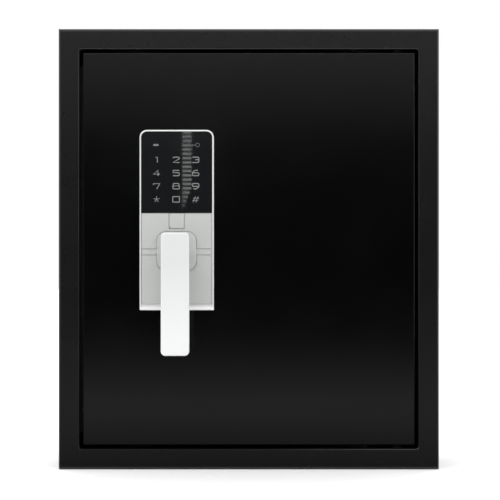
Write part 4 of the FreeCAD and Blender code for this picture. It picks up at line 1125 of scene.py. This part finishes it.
def bare_sheet(name, corners, faces, shade):
    """A plain sheet that stands in the studio and isn't part of the safe."""
    mesh = bpy.data.meshes.new(name)
    mesh.from_pydata(corners, [], faces)
    made = bpy.data.objects.new(name, mesh)
    bpy.context.scene.collection.objects.link(made)
    material, _, shader = new_finish(name)
    set_inputs(shader, {"Base Color": (shade, shade, shade, 1.0), "Roughness": 0.9})
    mesh.materials.append(material)
    return made


def graded_sheet(name, corners, axis, stop, shades):
    """A sheet whose grey changes along one axis; shades are (distance from 0, grey)."""
    made = bare_sheet(name, corners, [(0, 1, 3, 2)], 0.0)
    tree = made.data.materials[0].node_tree
    along = part_of(tree, object_coordinates(tree), axis)
    ramp = add_node(tree, "ValToRGB", {"Fac": remap(tree, along, 0.0, 1.0, 0.0, stop)})
    points = ramp.color_ramp.elements
    while len(points) < len(shades):
        points.new(0.5)
    for point, (distance, grey) in zip(points, shades):
        point.position = distance / abs(stop)
        point.color = (grey, grey, grey, 1.0)
    tree.links.new(ramp.outputs["Color"], tree.nodes["Principled BSDF"].inputs["Base Color"])
    return made


def studio_sky():
    """Soft white light all round, stronger from above."""
    world = bpy.data.worlds.new("studio")
    world.use_nodes = True
    tree = world.node_tree
    background = tree.nodes["Background"]
    background.inputs["Color"].default_value = (1.0, 1.0, 1.0, 1.0)
    height = part_of(tree, add_node(tree, "TexCoord").outputs["Generated"], "Z")
    strength = remap(tree, height, *SKY_STRENGTHS, *SKY_HEIGHTS)
    tree.links.new(strength, background.inputs["Strength"])
    bpy.context.scene.world = world


def slatted_light():
    """A narrow strip light behind slats, which shows in the keypad's glass."""
    corners = []
    faces = []
    cut_foot, cut_step = SLAT_CUT
    for i in range(SLAT_COUNT):
        low = SLAT_FOOT + SLAT_PITCH * i
        high = low + SLAT_FILL * SLAT_PITCH
        right = min(SLAT_RIGHT, cut_foot + cut_step * i)
        corners += [(x, SLAT_PLACE, z) for z in (low, high) for x in (SLAT_LEFT, right)]
        faces.append((4 * i, 4 * i + 1, 4 * i + 3, 4 * i + 2))
    slats = bare_sheet("slatted_light", corners, faces, 0.8)
    set_inputs(slats.data.materials[0].node_tree.nodes["Principled BSDF"], SLAT_GLOW)
    return slats


def studio():
    """A pale floor and soft light, and dark sheets that show in reflections only."""
    bpy.context.scene.view_settings.view_transform = "Standard"
    studio_sky()
    for light in LIGHTS:
        area_light(*light)

    ring = [
        (FLOOR_RADIUS * math.cos(turn), FLOOR_RADIUS * math.sin(turn), FLOOR_LEVEL)
        for turn in (2 * math.pi * i / FLOOR_STEPS for i in range(FLOOR_STEPS))
    ]
    bare_sheet("floor", ring, [range(FLOOR_STEPS)], 0.95)

    # a dark cloth on the floor and a dark screen behind the camera, whose greys are painted
    # reflections in the safe's gloss
    sides = (-SHEETS_REACH, SHEETS_REACH)
    corners = [(x, y, SHEETS_LEVEL) for y in (CLOTH_START, SCREEN_PLACE) for x in sides]
    cloth = graded_sheet("dark_cloth", corners, "Y", SCREEN_PLACE, CLOTH_SHADES)
    corners = [(x, SCREEN_PLACE, z) for z in (SHEETS_LEVEL, SCREEN_TOP) for x in sides]
    screen = graded_sheet("dark_screen", corners, "Z", SCREEN_TOP, SCREEN_SHADES)
    for sheet in (cloth, screen, slatted_light()):
        sheet.visible_camera = False
        sheet.visible_diffuse = False
        sheet.visible_shadow = False


# ---- assemble ----------------------------------------------------------------

dress_frame()
for eased_node, edge_width in EASED.items():
    ease_edges(eased_node, edge_width * MM)
weld_beads()
spot_welds()
cover_screws()
locking_bolts()
domed_pads()
button_cap()
battery_mark()
felt_mat()
keypad_digits()
keypad_marks()
keypad_key_mark()
camera()
studio()
